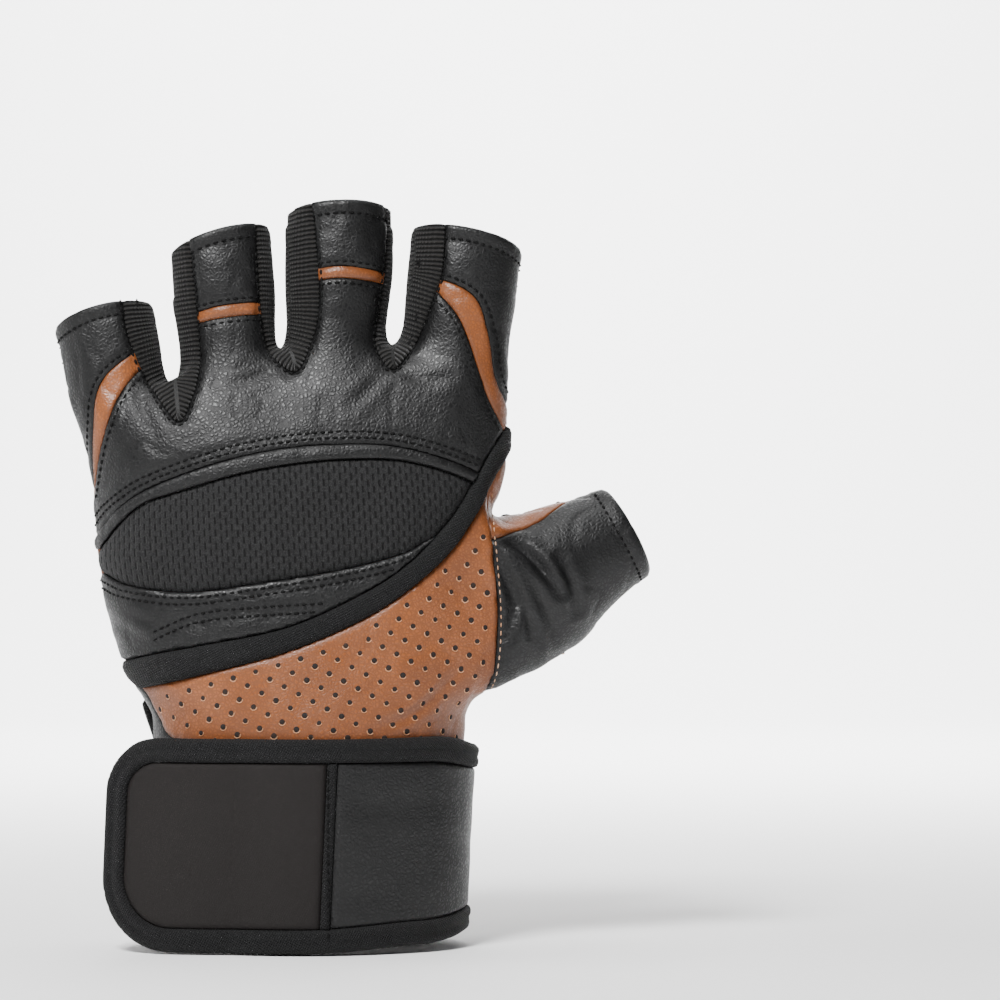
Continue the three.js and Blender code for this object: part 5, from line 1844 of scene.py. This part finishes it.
def lines_on(skin: Skin, name: str, trails: Iterable[Trail], lift: float) -> bpy.types.Object:
    """A net of lines laid on the surface.

    Args:
        skin: the surface.
        name: the carrier's name.
        trails: the lines.
        lift: how far above the surface they lie.

    Returns:
        A carrier with the normals as "facing".
    """
    places, normals, edges = [], [], []
    count = 0
    for trail in trails:
        closed = np.allclose(trail.line[0], trail.line[-1])
        found, facing, hit = skin.lay(trail.line, trail.side, lift)
        facing = smoothed(facing, 4, closed)
        level = np.abs(np.diff(found[:, 1])) < LARGEST_STEP
        for i in range(len(found) - 1):
            if hit[i] and hit[i + 1] and level[i]:
                edges.append((count + i, count + i + 1))
        places.append(found)
        normals.append(facing)
        count += len(found)
    carrier_places, carrier_normals = np.concatenate(places), np.concatenate(normals)
    used, index = np.unique(np.array(edges), return_inverse=True)
    return make_object(
        name,
        carrier_places[used],
        [],
        Look.BLACK,
        {"facing": carrier_normals[used]},
        edges=index.reshape(-1, 2),
    )


Test = Callable[[Net], Points]


def left_of(name: str, shift: float = 0.0) -> Test:
    """Keeps what lies left of a seam."""
    return lambda net: shift - net[name]


def right_of(name: str, shift: float = 0.0) -> Test:
    """Keeps what lies right of a seam."""
    return lambda net: net[name] + shift


def either(back: Test, palm: Test) -> Test:
    """One test on the back that turns into another on the palm."""

    def test(net: Net) -> Points:
        t = np.clip(0.5 + SIDE_BLEND * net["side"], 0, 1)
        return (1 - t) * back(net) + t * palm(net)

    return test


def on_finger(n: int) -> Test:
    """Keeps one finger's strip of the hand."""
    low = WEBS[n - 1][0] * HAND_WIDTH if n > 0 else -HAND_WIDTH * 2
    high = WEBS[n][0] * HAND_WIDTH if n < len(WEBS) else HAND_WIDTH * 2
    return lambda net: np.maximum(low - net["x"], net["x"] - high)


def on_back(net: Net) -> Points:
    """Keeps the back of the hand."""
    return net["side"] * SIDE_SPAN - SIDE_WRAP


def on_palm(net: Net) -> Points:
    """Keeps the palm's side."""
    return SIDE_WRAP - net["side"] * SIDE_SPAN


def cut(net: Net, *tests: Test) -> Net:
    """Trims a net by each test in turn."""
    for test in tests:
        net = net.trim(test)
    return net


def ridges(net: Net, seams: Sequence[str], width: float, depth: float) -> Points:
    """A groove along the middle between two seams, as in a folded tape."""
    first, second = (np.abs(net[name]) for name in seams)
    middle = (first - second) / 2
    return -depth * bell(middle, width)


@dataclass
class Hand:
    """The hand of the glove: its backs, knit gussets, thumb, palm and cuff."""

    skin: Skin
    form: HandForm = field(default_factory=HandForm)

    def build(self) -> Net:
        """Cuts and builds every panel.

        Returns:
            The whole smooth surface.
        """
        whole = self.form.net()
        whole.points[:, COLUMN["relief"]] = add_relief(whole)
        gaps = [
            (
                either(left_of(f"back_gap{n}"), left_of(f"palm_gap{n}")),
                either(right_of(f"back_gap{n}"), right_of(f"palm_gap{n}")),
            )
            for n in (1, 2, 3)
        ]
        off_knit = [outside for _, outside in gaps]
        for (inside, _), name in zip(gaps, ("little_ring", "ring_middle", "middle_index")):
            flat = cut(whole, inside)
            flat.points[:, COLUMN["relief"]] *= 0.4
            Panel(f"knit_gusset_{name}", flat, Look.KNIT, 1.5, drop=0.5, roll=1.2).build(self.skin)
        above_cuff = cut(whole, either(left_of("back_cuff_top"), left_of("palm_cuff_top")))
        self.backs(above_cuff, off_knit)
        self.thumb_and_wrist(above_cuff)
        self.palm(above_cuff, off_knit)
        cuff = cut(whole, either(right_of("back_cuff_top"), right_of("palm_cuff_top")))
        Panel("wrist_cuff", cuff, Look.BLACK, 2.0, drop=0.5).build(self.skin)
        return whole

    def backs(self, above_cuff: Net, off_knit: list[Test]) -> None:
        """The fingers' backs, their inlays and the leather below them."""
        top = cut(above_cuff, on_back, *off_knit, left_of("back_roll_top"), right_of("back_binding_top"))
        below: list[Test] = []
        for n, finger in enumerate(FINGER_NAMES):
            above, under = (left_of, right_of) if n else (right_of, left_of)
            part = cut(top, on_finger(n))
            stall = cut(part, above(f"back_{finger}_top"))
            Panel(f"{finger}_finger_back", stall, Look.BLACK, 1.4).build(self.skin)
            inlay = cut(part, under(f"back_{finger}_top"), above(f"back_{finger}_low"))
            Panel(
                f"{finger}_finger_inlay", inlay, Look.TAN, 1.4,
                raised=-0.25, drop=0.3, roll=0.8,
            ).build(self.skin)
            below.append(under(f"back_{finger}_low"))

        def under_inlays(net: Net) -> Points:
            edges = [w[0] * HAND_WIDTH for w in WEBS]
            finger = np.searchsorted(edges, net["x"])
            return np.choose(finger, [test(net) for test in below])

        Panel("back_panel", cut(top, under_inlays), Look.BLACK, 1.4).build(self.skin)
        low = cut(above_cuff, on_back, right_of("back_roll_top"), right_of("back_binding_top"))
        roll = cut(low, left_of("back_mesh_top"))
        Panel(
            "knuckle_roll", roll, Look.BLACK, 1.4,
            raised=0.35, drop=0.5, roll=0.9,
        ).build(self.skin)
        padded = cut(low, right_of("back_mesh_top"), left_of("back_mesh_low"))
        Panel(
            "knuckle_mesh", padded, Look.NET, 1.8, raised=-0.5, drop=0.6, roll=1.4,
            shape=lambda net: 0.9 * np.clip((net["edge"] - 0.6) / 8, 0, 1) ** 0.6,
        ).build(self.skin)
        band = cut(low, right_of("back_mesh_top"), right_of("back_mesh_low"))
        Panel(
            "lower_back_band", band, Look.BLACK, 1.4,
            raised=0.2, drop=0.8, roll=1.0,
        ).build(self.skin)
        tape = cut(above_cuff, on_back, left_of("back_binding_top"), right_of("back_binding_low"))
        Panel(
            "back_binding", tape, Look.TAPE, 1.4, raised=1.0, drop=1.3, roll=1.6,
            shape=lambda net: ridges(net, ("back_binding_top", "back_binding_low"), 0.7, 0.25),
        ).build(self.skin)

    def thumb_and_wrist(self, above_cuff: Net) -> None:
        """The perforated wrist panel and the thumb's back."""
        low = cut(above_cuff, on_back, left_of("back_binding_low"))
        wrist = cut(low, right_of("back_thumb_seam"))
        Panel("wrist_back_panel", wrist, Look.TAN, 1.6, raised=0, drop=0.5).build(self.skin)
        thumb = cut(low, left_of("back_thumb_seam"))
        Panel("thumb_stall", cut(thumb, right_of("back_gusset")), Look.BLACK, 1.4).build(self.skin)
        Panel(
            "thumb_gusset", cut(thumb, left_of("back_gusset")), Look.TAN, 1.6,
            raised=0, drop=0.5,
        ).build(self.skin)

    def palm(self, above_cuff: Net, off_knit: list[Test]) -> None:
        """The fingers' fronts, the tan palm and the thumb's base."""
        whole = cut(above_cuff, on_palm, *off_knit)
        fronts = cut(whole, right_of("palm_wave"))
        Panel("finger_front_panel", fronts, Look.BLACK, 1.4, raised=-0.2).build(self.skin)
        tan = cut(whole, left_of("palm_wave"))
        half = PIPING_WIDTH / 2
        palm = cut(tan, right_of("palm_thenar", half))
        Panel("palm_panel", palm, Look.TAN, 1.6, raised=0.25, drop=0.7, roll=0.9).build(self.skin)
        base = cut(tan, left_of("palm_thenar", half))
        Panel(
            "thumb_base_panel", base, Look.TAN, 1.6,
            raised=0, drop=0.6, roll=1.0,
        ).build(self.skin)
        pipe = cut(tan, right_of("palm_thenar", -half), left_of("palm_thenar", -half))
        Panel(
            "thumb_seam_piping", pipe, Look.TAPE, 1.4,
            raised=0.9, drop=1.2, roll=1.2,
        ).build(self.skin)


@dataclass
class Pads:
    """The smooth pads on the palm and the oval ones on the fingers."""

    skin: Skin

    def build(self) -> None:
        """Makes every pad."""
        for name, window in WINDOWS.items():
            self.palm_pad(name, window)
        for name in OVALS:
            self.oval_pad(name)

    @staticmethod
    def finish(name: str, places: Points, faces: Points, flat: Points, fill: float) -> None:
        """Makes a pad's object, which replaces the solid of its name."""
        uv = np.concatenate([flat, flat])
        made = make_object(f"{name}_moulded", places, faces, Look.PAD, {}, uv)
        settle(made, Look.PAD, name)

    def dome(self, name: str, flat: Points, grid: tuple[int, int], rise: Points) -> None:
        """Lays a closed, domed pad on the palm.

        Args:
            name: the pad and the solid that it replaces.
            flat: x and z of each grid point.
            grid: the grid's rows and columns.
            rise: how far each point stands above the surface.
        """
        places, normals, hit = self.skin.lay(flat, Side.PALM)
        rows, columns = grid
        good = np.where(hit)[0]
        for i in np.where(~hit)[0]:
            near = good[np.argmin(np.linalg.norm(flat[good] - flat[i], axis=1))]
            places[i], normals[i] = places[near], normals[near]
        place_grid = places.reshape(rows, columns, 3)
        normal_grid = normals.reshape(rows, columns, 3)
        for _ in range(6):
            for g in (place_grid, normal_grid):
                g[1:-1] = (g[:-2] + 2 * g[1:-1] + g[2:]) / 4
                g[:, 1:-1] = (g[:, :-2] + 2 * g[:, 1:-1] + g[:, 2:]) / 4
        normals = unit(normal_grid.reshape(-1, 3))
        base = place_grid.reshape(-1, 3)
        outer = base + normals * rise[:, None]
        inner = base - normals * 0.4
        a = (np.arange(rows - 1)[:, None] * columns + np.arange(columns - 1)).ravel()
        quads = np.stack([a, a + columns, a + columns + 1, a + 1], axis=1)
        if (leans(outer, quads) * normals[quads[:, 0]]).sum() < 0:
            quads = quads[:, ::-1]
        grid_index = np.arange(rows * columns).reshape(rows, columns)
        ring = np.concatenate(
            [grid_index[0], grid_index[1:, -1], grid_index[-1, -2::-1], grid_index[-2:0:-1, 0]]
        )
        nxt = np.roll(ring, -1)
        under = rows * columns
        walls = np.stack([ring, nxt, nxt + under, ring + under], axis=1)
        places = np.concatenate([outer, inner])
        if (leans(places, walls) * (outer[ring] - outer.mean(axis=0))).sum() < 0:
            walls = walls[:, ::-1]
        faces = np.concatenate([quads, quads[:, ::-1] + under, walls])
        self.finish(name, places, faces, flat, PAD_FILL)

    def palm_pad(self, name: str, window: Window) -> None:
        """A smooth pad that fills its window."""
        rows, columns = 130, 26
        u = np.linspace(0, 1, rows)
        u = 0.5 - 0.5 * np.cos(u * math.pi) * (1 - 0.15 * np.sin(u * math.pi))
        v = np.sin(np.linspace(-math.pi / 2, math.pi / 2, columns))
        uu, vv = (g.ravel() for g in np.meshgrid(u, v, indexing="ij"))
        flat = window.at(uu, vv)
        side = np.sqrt(np.maximum(1 - np.abs(vv) ** 5, 0))
        end = np.clip(np.minimum(uu, 1 - uu) / 0.03, 0, 1)
        rise = 0.25 + 0.75 * side * np.sqrt(1 - (1 - end) ** 2)
        self.dome(name, flat, (rows, columns), rise)

    def oval_pad(self, name: str) -> None:
        """A domed oval pad inside its raised ring, made of rings round its middle point."""
        rings, sides = 14, 64
        r = np.linspace(0, 1, rings) ** 0.8
        turn = np.linspace(0, 2 * math.pi, sides, endpoint=False)
        rr, tt = (g.ravel() for g in np.meshgrid(r[1:], turn, indexing="ij"))
        rr, tt = np.concatenate([[0], rr]), np.concatenate([[0], tt])
        flat = on_oval(name, rr, tt)
        centre, _, _ = self.skin.lay(flat[:1], Side.PALM)
        places, normals, hit = self.skin.lay(flat, Side.PALM)
        places[~hit] = centre[0]
        normals[:] = smoothed(normals, 2)
        mean = normals[hit].mean(axis=0)
        normals = unit(0.4 * normals + 0.6 * mean)
        rise = 0.35 + 1.35 * np.sqrt(np.maximum(1 - rr**2.6, 0))
        outer, inner = places + normals * rise[:, None], places - normals * 0.5
        faces: list[tuple[int, ...]] = []
        first = lambda ring, k: 1 + ring * sides + k % sides
        for k in range(sides):
            faces.append((0, first(0, k + 1), first(0, k), 0))
            for ring in range(rings - 2):
                faces.append(
                    (first(ring, k), first(ring, k + 1), first(ring + 1, k + 1), first(ring + 1, k))
                )
        tri = np.array(faces)
        tri = np.concatenate([tri[:, [0, 1, 2]], tri[:, [0, 2, 3]]])
        tri = tri[(tri[:, 0] != tri[:, 1]) & (tri[:, 1] != tri[:, 2]) & (tri[:, 2] != tri[:, 0])]
        turned = (leans(outer, tri) * normals[tri[:, 0]]).sum(axis=1) < 0
        tri[turned] = tri[turned][:, ::-1]
        net = Net(np.zeros((len(outer), len(NAMES))), tri)
        places, tri = shell(outer, inner, tri, net.rim())
        self.finish(name, places, tri, flat, OVAL_FILL)


def cuff_at(turn: Points, z: Points) -> tuple[Points, Points]:
    """The wrap's outer face by the angle from +X towards the back, and the height."""
    share = z / HAND_HEIGHT
    rows = np.array(RINGS)
    left_x, right_x, back, palm = (np.interp(share, rows[:, 0], rows[:, k]) for k in (1, 2, 3, 4))
    deep = np.where(np.sin(turn) > 0, back * BACK_DEPTH, palm * PALM_DEPTH)
    wide = (right_x - left_x) * HAND_WIDTH / 2
    middle = (right_x + left_x) * HAND_WIDTH / 2
    return (
        middle + (wide + STRAP_GROWN) * np.cos(turn),
        -(deep + STRAP_GROWN) * np.sin(turn),
    )


@dataclass
class Wrap:
    """The wrist wrap: its leather, patch, sewn strip, folded binding and hook tape."""

    skin: Skin
    turns: int = 150
    tab: int = 56
    rows: int = 60
    length: float = 0.0

    def station(self, turn: Points, column: int) -> Points:
        """An edge's rise at each angle, in millimetres."""
        stations = np.array(STRAP_STATIONS)
        n = np.clip(np.searchsorted(stations[:, 0], turn - 1e-9), 1, len(stations) - 1)
        a, b = stations[n - 1], stations[n]
        t = np.clip((turn - a[:, 0]) / (b[:, 0] - a[:, 0]), 0, 1)
        return (a[:, column] + (3 - 2 * t) * t * t * (b[:, column] - a[:, column])) * STRAP_HEIGHT

    def net(self) -> tuple[Net, Callable[[Net], Points]]:
        """The wrap's outer face.

        Returns:
            The net, and a test that is the distance outside the wrap's outline.
        """
        start, leave = STRAP_STATIONS[0][0], STRAP_STATIONS[-1][0]
        height = STRAP_MIDDLE * HAND_HEIGHT
        flat = cuff_at(np.array([leave]), np.array([height]))[0][0] + STRAP_TAB_REACH
        turn = np.concatenate([np.linspace(start, leave, self.turns), np.full(self.tab, leave)])
        out = np.concatenate([np.zeros(self.turns), flat * np.arange(1, self.tab + 1) / self.tab])
        low = height + self.station(turn, 2) - STRAP_HEIGHT / 2
        up = height + self.station(turn, 1) + STRAP_HEIGHT / 2
        v = np.linspace(0, 1, self.rows)
        z = low[:, None] + v * (up - low)[:, None]
        x, y = cuff_at(np.repeat(turn[:, None], self.rows, axis=1), np.maximum(z, 0))
        x = x - out[:, None]
        y = y + TAB_BEND * (out * out / flat)[:, None]
        grid = np.stack([x, y, z], axis=2)
        middle = grid[:, self.rows // 2, :2]
        run = np.concatenate([[0], np.cumsum(np.linalg.norm(np.diff(middle, axis=0), axis=1))])
        self.length = run[-1]
        normal = np.cross(np.gradient(grid, axis=1), np.gradient(grid, axis=0))
        normal = smoothed(normal, 6)
        points = np.zeros((grid.shape[0] * self.rows, len(NAMES)))
        points[:, :3] = grid.reshape(-1, 3)
        points[:, COLUMN["nx"] : COLUMN["nz"] + 1] = unit(normal.reshape(-1, 3))
        points[:, COLUMN["run"]] = np.repeat(run, self.rows)
        points[:, COLUMN["rise"]] = grid[:, :, 2].ravel()
        points[:, COLUMN["edge"]] = points[:, COLUMN["hem"]] = FAR
        a = (np.arange(len(grid) - 1)[:, None] * self.rows + np.arange(self.rows - 1)).ravel()
        tri = np.concatenate(
            [
                np.stack([a, a + self.rows, a + self.rows + 1], axis=1),
                np.stack([a, a + self.rows + 1, a + 1], axis=1),
            ]
        )
        net = Net(points, tri)
        if (leans(net.places, tri) * net.facing()[tri[:, 0]]).sum() < 0:
            net.triangles = tri[:, ::-1]

        def outline(net: Net) -> Points:
            s, rise = net["run"], net["rise"]
            lower, upper = np.interp(s, run, low), np.interp(s, run, up)
            centre = (lower + upper) / 2
            radius = np.where(rise > centre, TAB_ROUND_UP, TAB_ROUND_LOW)
            over = np.abs(rise - centre) - (upper - lower) / 2
            qs, qz = s - self.length + radius, over + radius
            corner = np.hypot(np.maximum(qs, 0), np.maximum(qz, 0))
            corner = corner + np.minimum(np.maximum(qs, qz), 0) - radius
            return np.maximum(corner, -s)

        return net, outline

    def build(self) -> None:
        """Makes the wrap's pieces."""
        whole, outline = self.net()
        patch_end = self.length - BINDING_WIDTH - PATCH_LENGTH
        strip_end = patch_end - SEAM_STRIP_WIDTH
        relief = 0.35 * lattice_noise(whole.places, size=24, seed=5)
        leather = np.clip((patch_end + 4 - whole["run"]) / 8, 0, 1)
        wrinkles = lattice_noise(whole.places * (0.55, 0.55, 1.5), size=8, seed=6)
        palm = np.clip((whole["y"] - 4) / 14, 0, 1)
        relief += leather * (0.2 + 0.5 * palm) * wrinkles
        crease = np.abs(lattice_noise(whole.places * (0.3, 0.3, 1.3), size=9, seed=8))
        relief -= leather * palm * 0.7 * bell(crease, 0.16)
        whole.points[:, COLUMN["relief"]] = relief

        def inward(width: float) -> Test:
            return lambda net: outline(net) + width

        def binding_shape(net: Net) -> Points:
            return -0.45 * bell(-outline(net) - BINDING_WIDTH * 0.48, 0.45)

        across_binding = lambda net: -outline(net) - BINDING_WIDTH
        binding = cut(whole, outline, across_binding)
        Panel(
            "strap_binding", binding, Look.TAPE, 2.0,
            raised=0.9, drop=1.1, roll=1.3, shape=binding_shape,
        ).build(self.skin)
        inner = cut(whole, inward(BINDING_WIDTH))
        strap = cut(inner, lambda net: net["run"] - strip_end)
        Panel(
            "wrist_strap", strap, Look.BLACK, 2.0,
            raised=0.1, drop=0.5, roll=1.0,
        ).build(self.skin)
        strip = cut(inner, lambda net: strip_end - net["run"], lambda net: net["run"] - patch_end)
        Panel(
            "strap_seam_strip", strip, Look.TAPE, 2.0,
            raised=0.5, drop=0.6, roll=0.8,
        ).build(self.skin)
        patch = cut(inner, lambda net: patch_end - net["run"])
        Panel(
            "strap_patch", patch, Look.PATCH, 2.0,
            raised=0.0, drop=0.4, roll=0.8,
        ).build(self.skin)
        hooks = cut(inner, lambda net: self.length - HOOK_LENGTH - net["run"])
        hooks.points[:, COLUMN["relief"]] = 0
        Panel("hook_tape", hooks, Look.HOOK, 3.5, raised=-2.3, drop=0.2, roll=0.6).build(None)


@dataclass
class Sewing:
    """Stitches, raw edges and punched holes, laid on the finished surface."""

    skin: Skin

    def build(self) -> None:
        """Sews and punches the whole glove."""
        stitches = Repeats.stitch_tree()
        cord = Repeats.cord_tree()
        for name, trails, look, lift, pitch, size in (
            ("back_stitches", back_rows() + thumb_rows(), Look.DARK_THREAD, 0.05, 1.9, SHORT_STITCH),
            ("palm_stitches_black", palm_black_rows(), Look.DARK_THREAD, 0.05, 2.1, SHORT_STITCH),
            ("palm_stitches_cream", palm_cream_rows(), Look.CREAM_THREAD, 0.02, 2.4, LONG_STITCH),
            ("back_stitches_cream", back_cream_rows(), Look.DULL_THREAD, 0.0, 2.0, FINE_STITCH),
        ):
            carrier = lines_on(self.skin, name, trails, lift)
            grown(name, carrier, stitches, look, Pitch=pitch * MM, Size=Vector(size) * MM, Seed=7)
        edges = [Trail(window.outline(0.35), Side.PALM) for window in WINDOWS.values()]
        edges += Trail.beside(PALM["wave"], Side.PALM, 0.25).where(
            lambda x, z: np.abs(x) - 0.49 * HAND_WIDTH
        )
        carrier = lines_on(self.skin, "palm_raw_edges", edges, 0.1)
        grown("palm_raw_edges", carrier, cord, Look.RAW_EDGE, Radius=0.42 * MM)
        back_tests = [
            left(BACK["binding_low"], 2.1),
            right(BACK["thumb_seam"], 2.1),
            left(BACK["cuff_top"], 1.6),
        ]
        self.punch(
            "wrist_back", Side.BACK, BACK_HOLES, along=5.7, across=2.7, lean=0.28, tests=back_tests
        )
        palm_tests = [left(PALM["wave"], 4.2), left(PALM["cuff_top"], 2.5)]
        self.punch(
            "palm", Side.PALM, PALM_HOLES, along=5.6, across=2.8, lean=-0.2, tests=palm_tests,
            clear=True,
        )

    def close_wrap(self) -> None:
        """Sews the strip at the patch's end down."""
        line = np.array([(STITCHED_X, z) for z in np.arange(1.6, 41, 0.8)])
        carrier = lines_on(self.skin, "strap_stitches", [Trail(line, Side.BACK)], 0.1)
        grown(
            "strap_stitches", carrier, Repeats.stitch_tree(), Look.DARK_THREAD,
            Pitch=1.9 * MM, Size=Vector(SHORT_STITCH) * MM, Seed=9,
        )

    def punch(
        self,
        name: str,
        side: Side,
        box: tuple[float, float, float, float],
        along: float,
        across: float,
        lean: float,
        tests: list[Callable[[Points, Points], Points]],
        clear: bool = False,
    ) -> None:
        """Punches staggered rows of holes: dark discs of painted shade, each with a part rim coloured as
        painted highlight.

        Args:
            name: begins the pieces' names.
            side: the side of the hand.
            box: the lowest and highest x and z that are covered.
            along: the spacing in a row.
            across: the spacing of the rows.
            lean: the rows' turn in radians.
            tests: below zero where holes are.
            clear: whether the pads and the thumb's seam are kept clear.
        """
        low_x, low_z, high_x, high_z = box
        reach = math.hypot(high_x - low_x, high_z - low_z)
        flat = np.array(
            [
                (s + (along / 2 if n % 2 else 0), r)
                for n, r in enumerate(np.arange(-reach, reach, across))
                for s in np.arange(-reach, reach, along)
            ]
        )
        turn = np.array([[math.cos(lean), math.sin(lean)], [-math.sin(lean), math.cos(lean)]])
        flat = flat @ turn + ((low_x + high_x) / 2, (low_z + high_z) / 2)
        x, z = flat.T
        kept = (x > low_x) & (x < high_x) & (z > low_z) & (z < high_z)
        for test in tests:
            kept[kept] = test(x[kept], z[kept]) < 0
        if clear:
            for window in WINDOWS.values():
                kept &= ~self.inside(flat, window.outline(HOLE_TO_PAD))
            kept &= np.abs(PALM["thenar"].measure(x, z)[0]) > HOLE_TO_SEAM
        places, normals, hit = self.skin.lay(flat[kept], side, 0.04)
        hit &= np.abs(normals[:, 1]) > HOLE_FLATNESS
        places, normals = places[hit], normals[hit]
        # The rims run round the holes' lower side only and are coloured lighter than the leather, as a
        # painted highlight on the lit wall; the dark discs are painted shade.
        highlight_start = math.radians(190 if side is Side.BACK else 10)
        for part, look, radius, more in (
            ("holes", Look.HOLE, HOLE, {}),
            ("hole_rims", Look.HOLE_RIM, HOLE + 0.1, {"Begin": highlight_start}),
        ):
            title = f"{name}_{part}"
            carrier = make_object(title, places, [], look, {"facing": normals})
            tree = Repeats.hole_tree(bool(more))
            grown(title, carrier, tree, look, Radius=radius * MM, Seed=3, **more)

    @staticmethod
    def inside(flat: Points, ring: Points) -> Points:
        """Which places lie inside a closed outline."""
        x, z = flat.T
        odd = np.zeros(len(flat), bool)
        for (ax, az), (bx, bz) in zip(ring[:-1], ring[1:]):
            crosses = (az > z) != (bz > z)
            odd ^= crosses & (x < (bx - ax) * (z - az) / (bz - az + 1e-12) + ax)
        return odd


@dataclass
class Studio:
    """The floor, the lights and the camera."""

    middle: Vector = field(default_factory=lambda: Vector((0.012, 0, 0.09)))
    away: float = 0.9
    field_width: float = 0.25  # what the picture's width shows at the glove
    view_centre: tuple[float, float] = (0.05, 0.1075)

    def floor(self) -> None:
        """A plain pale floor that rises into a backdrop."""
        span, back, rise, low = 3.0, 1.3, 2.2, -0.0035
        profile = [(-2.6, low)]
        profile += [
            (back + 0.5 * math.sin(a), low + 0.5 - 0.5 * math.cos(a))
            for a in np.linspace(0, math.pi / 2, 16)
        ]
        profile.append((back + 0.5, rise))
        places = [(x, y, z) for x in (-span, span) for y, z in profile]
        n = len(profile)
        faces = [(i, n + i, n + i + 1, i + 1) for i in range(n - 1)]
        mesh = bpy.data.meshes.new("floor")
        mesh.from_pydata(places, [], faces)
        mesh.polygons.foreach_set("use_smooth", [True] * len(faces))
        made = bpy.data.materials.new("floor_paper")
        made.use_nodes = True
        shader = made.node_tree.nodes["Principled BSDF"]
        shader.inputs["Base Color"].default_value = (0.96, 0.96, 0.96, 1)
        shader.inputs["Roughness"].default_value = 0.9
        mesh.materials.append(made)
        floor = bpy.data.objects.new("floor", mesh)
        bpy.context.scene.collection.objects.link(floor)

    def light(
        self,
        name: str,
        place: tuple[float, float, float],
        size: float,
        power: float,
        target: Vector | None = None,
    ) -> None:
        """A square soft light that looks at the glove, or at a target."""
        target = self.middle if target is None else target
        lamp = bpy.data.lights.new(name, "AREA")
        lamp.shape = "SQUARE"
        lamp.size = size
        lamp.energy = power
        made = bpy.data.objects.new(name, lamp)
        made.location = place
        made.rotation_mode = "QUATERNION"
        made.rotation_quaternion = (target - Vector(place)).to_track_quat("-Z", "Y")
        bpy.context.scene.collection.objects.link(made)

    def build(self) -> None:
        """Sets up the whole studio."""
        self.floor()
        self.light("key", (-0.25, -0.55, 0.8), 0.26, 17)
        self.light("fill", (0.9, -0.7, 0.3), 0.6, 1.0)
        self.light("top", (0.1, 0.25, 1.0), 0.5, 5)
        self.light("left_rim", (-0.8, 0.2, 0.3), 0.4, 2)
        self.light("backdrop", (0.1, 0.8, 1.0), 0.8, 75, Vector((0.1, 1.7, 0.3)))
        world = bpy.data.worlds.new("studio")
        world.use_nodes = True
        background = world.node_tree.nodes["Background"]
        background.inputs["Color"].default_value = (1, 1, 1, 1)
        background.inputs["Strength"].default_value = 0.05
        bpy.context.scene.world = world
        lens = bpy.data.cameras.new("camera")
        lens.lens = lens.sensor_width * self.away / self.field_width
        lens.shift_x = (self.view_centre[0] - self.middle.x) / self.field_width
        lens.shift_y = (self.view_centre[1] - self.middle.z) / self.field_width
        camera = bpy.data.objects.new("camera", lens)
        camera.location = self.middle + Vector((0, -self.away, 0))
        camera.rotation_euler = (math.pi / 2, 0, 0)
        bpy.context.scene.collection.objects.link(camera)
        bpy.context.scene.camera = camera


@dataclass
class Glove:
    """The whole glove."""

    def build(self) -> None:
        """Builds the hand, the wrap, the pads and the sewing in order."""
        skin = Skin()
        Hand(skin).build()
        Pads(skin).build()
        sewing = Sewing(skin)
        sewing.build()
        Wrap(skin).build()
        sewing.close_wrap()


def main() -> None:
    """Builds the glove and its studio."""
    logging.basicConfig(level=logging.INFO, format="%(message)s")
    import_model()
    Studio().build()
    Glove().build()


if __name__ == "__main__":
    main()
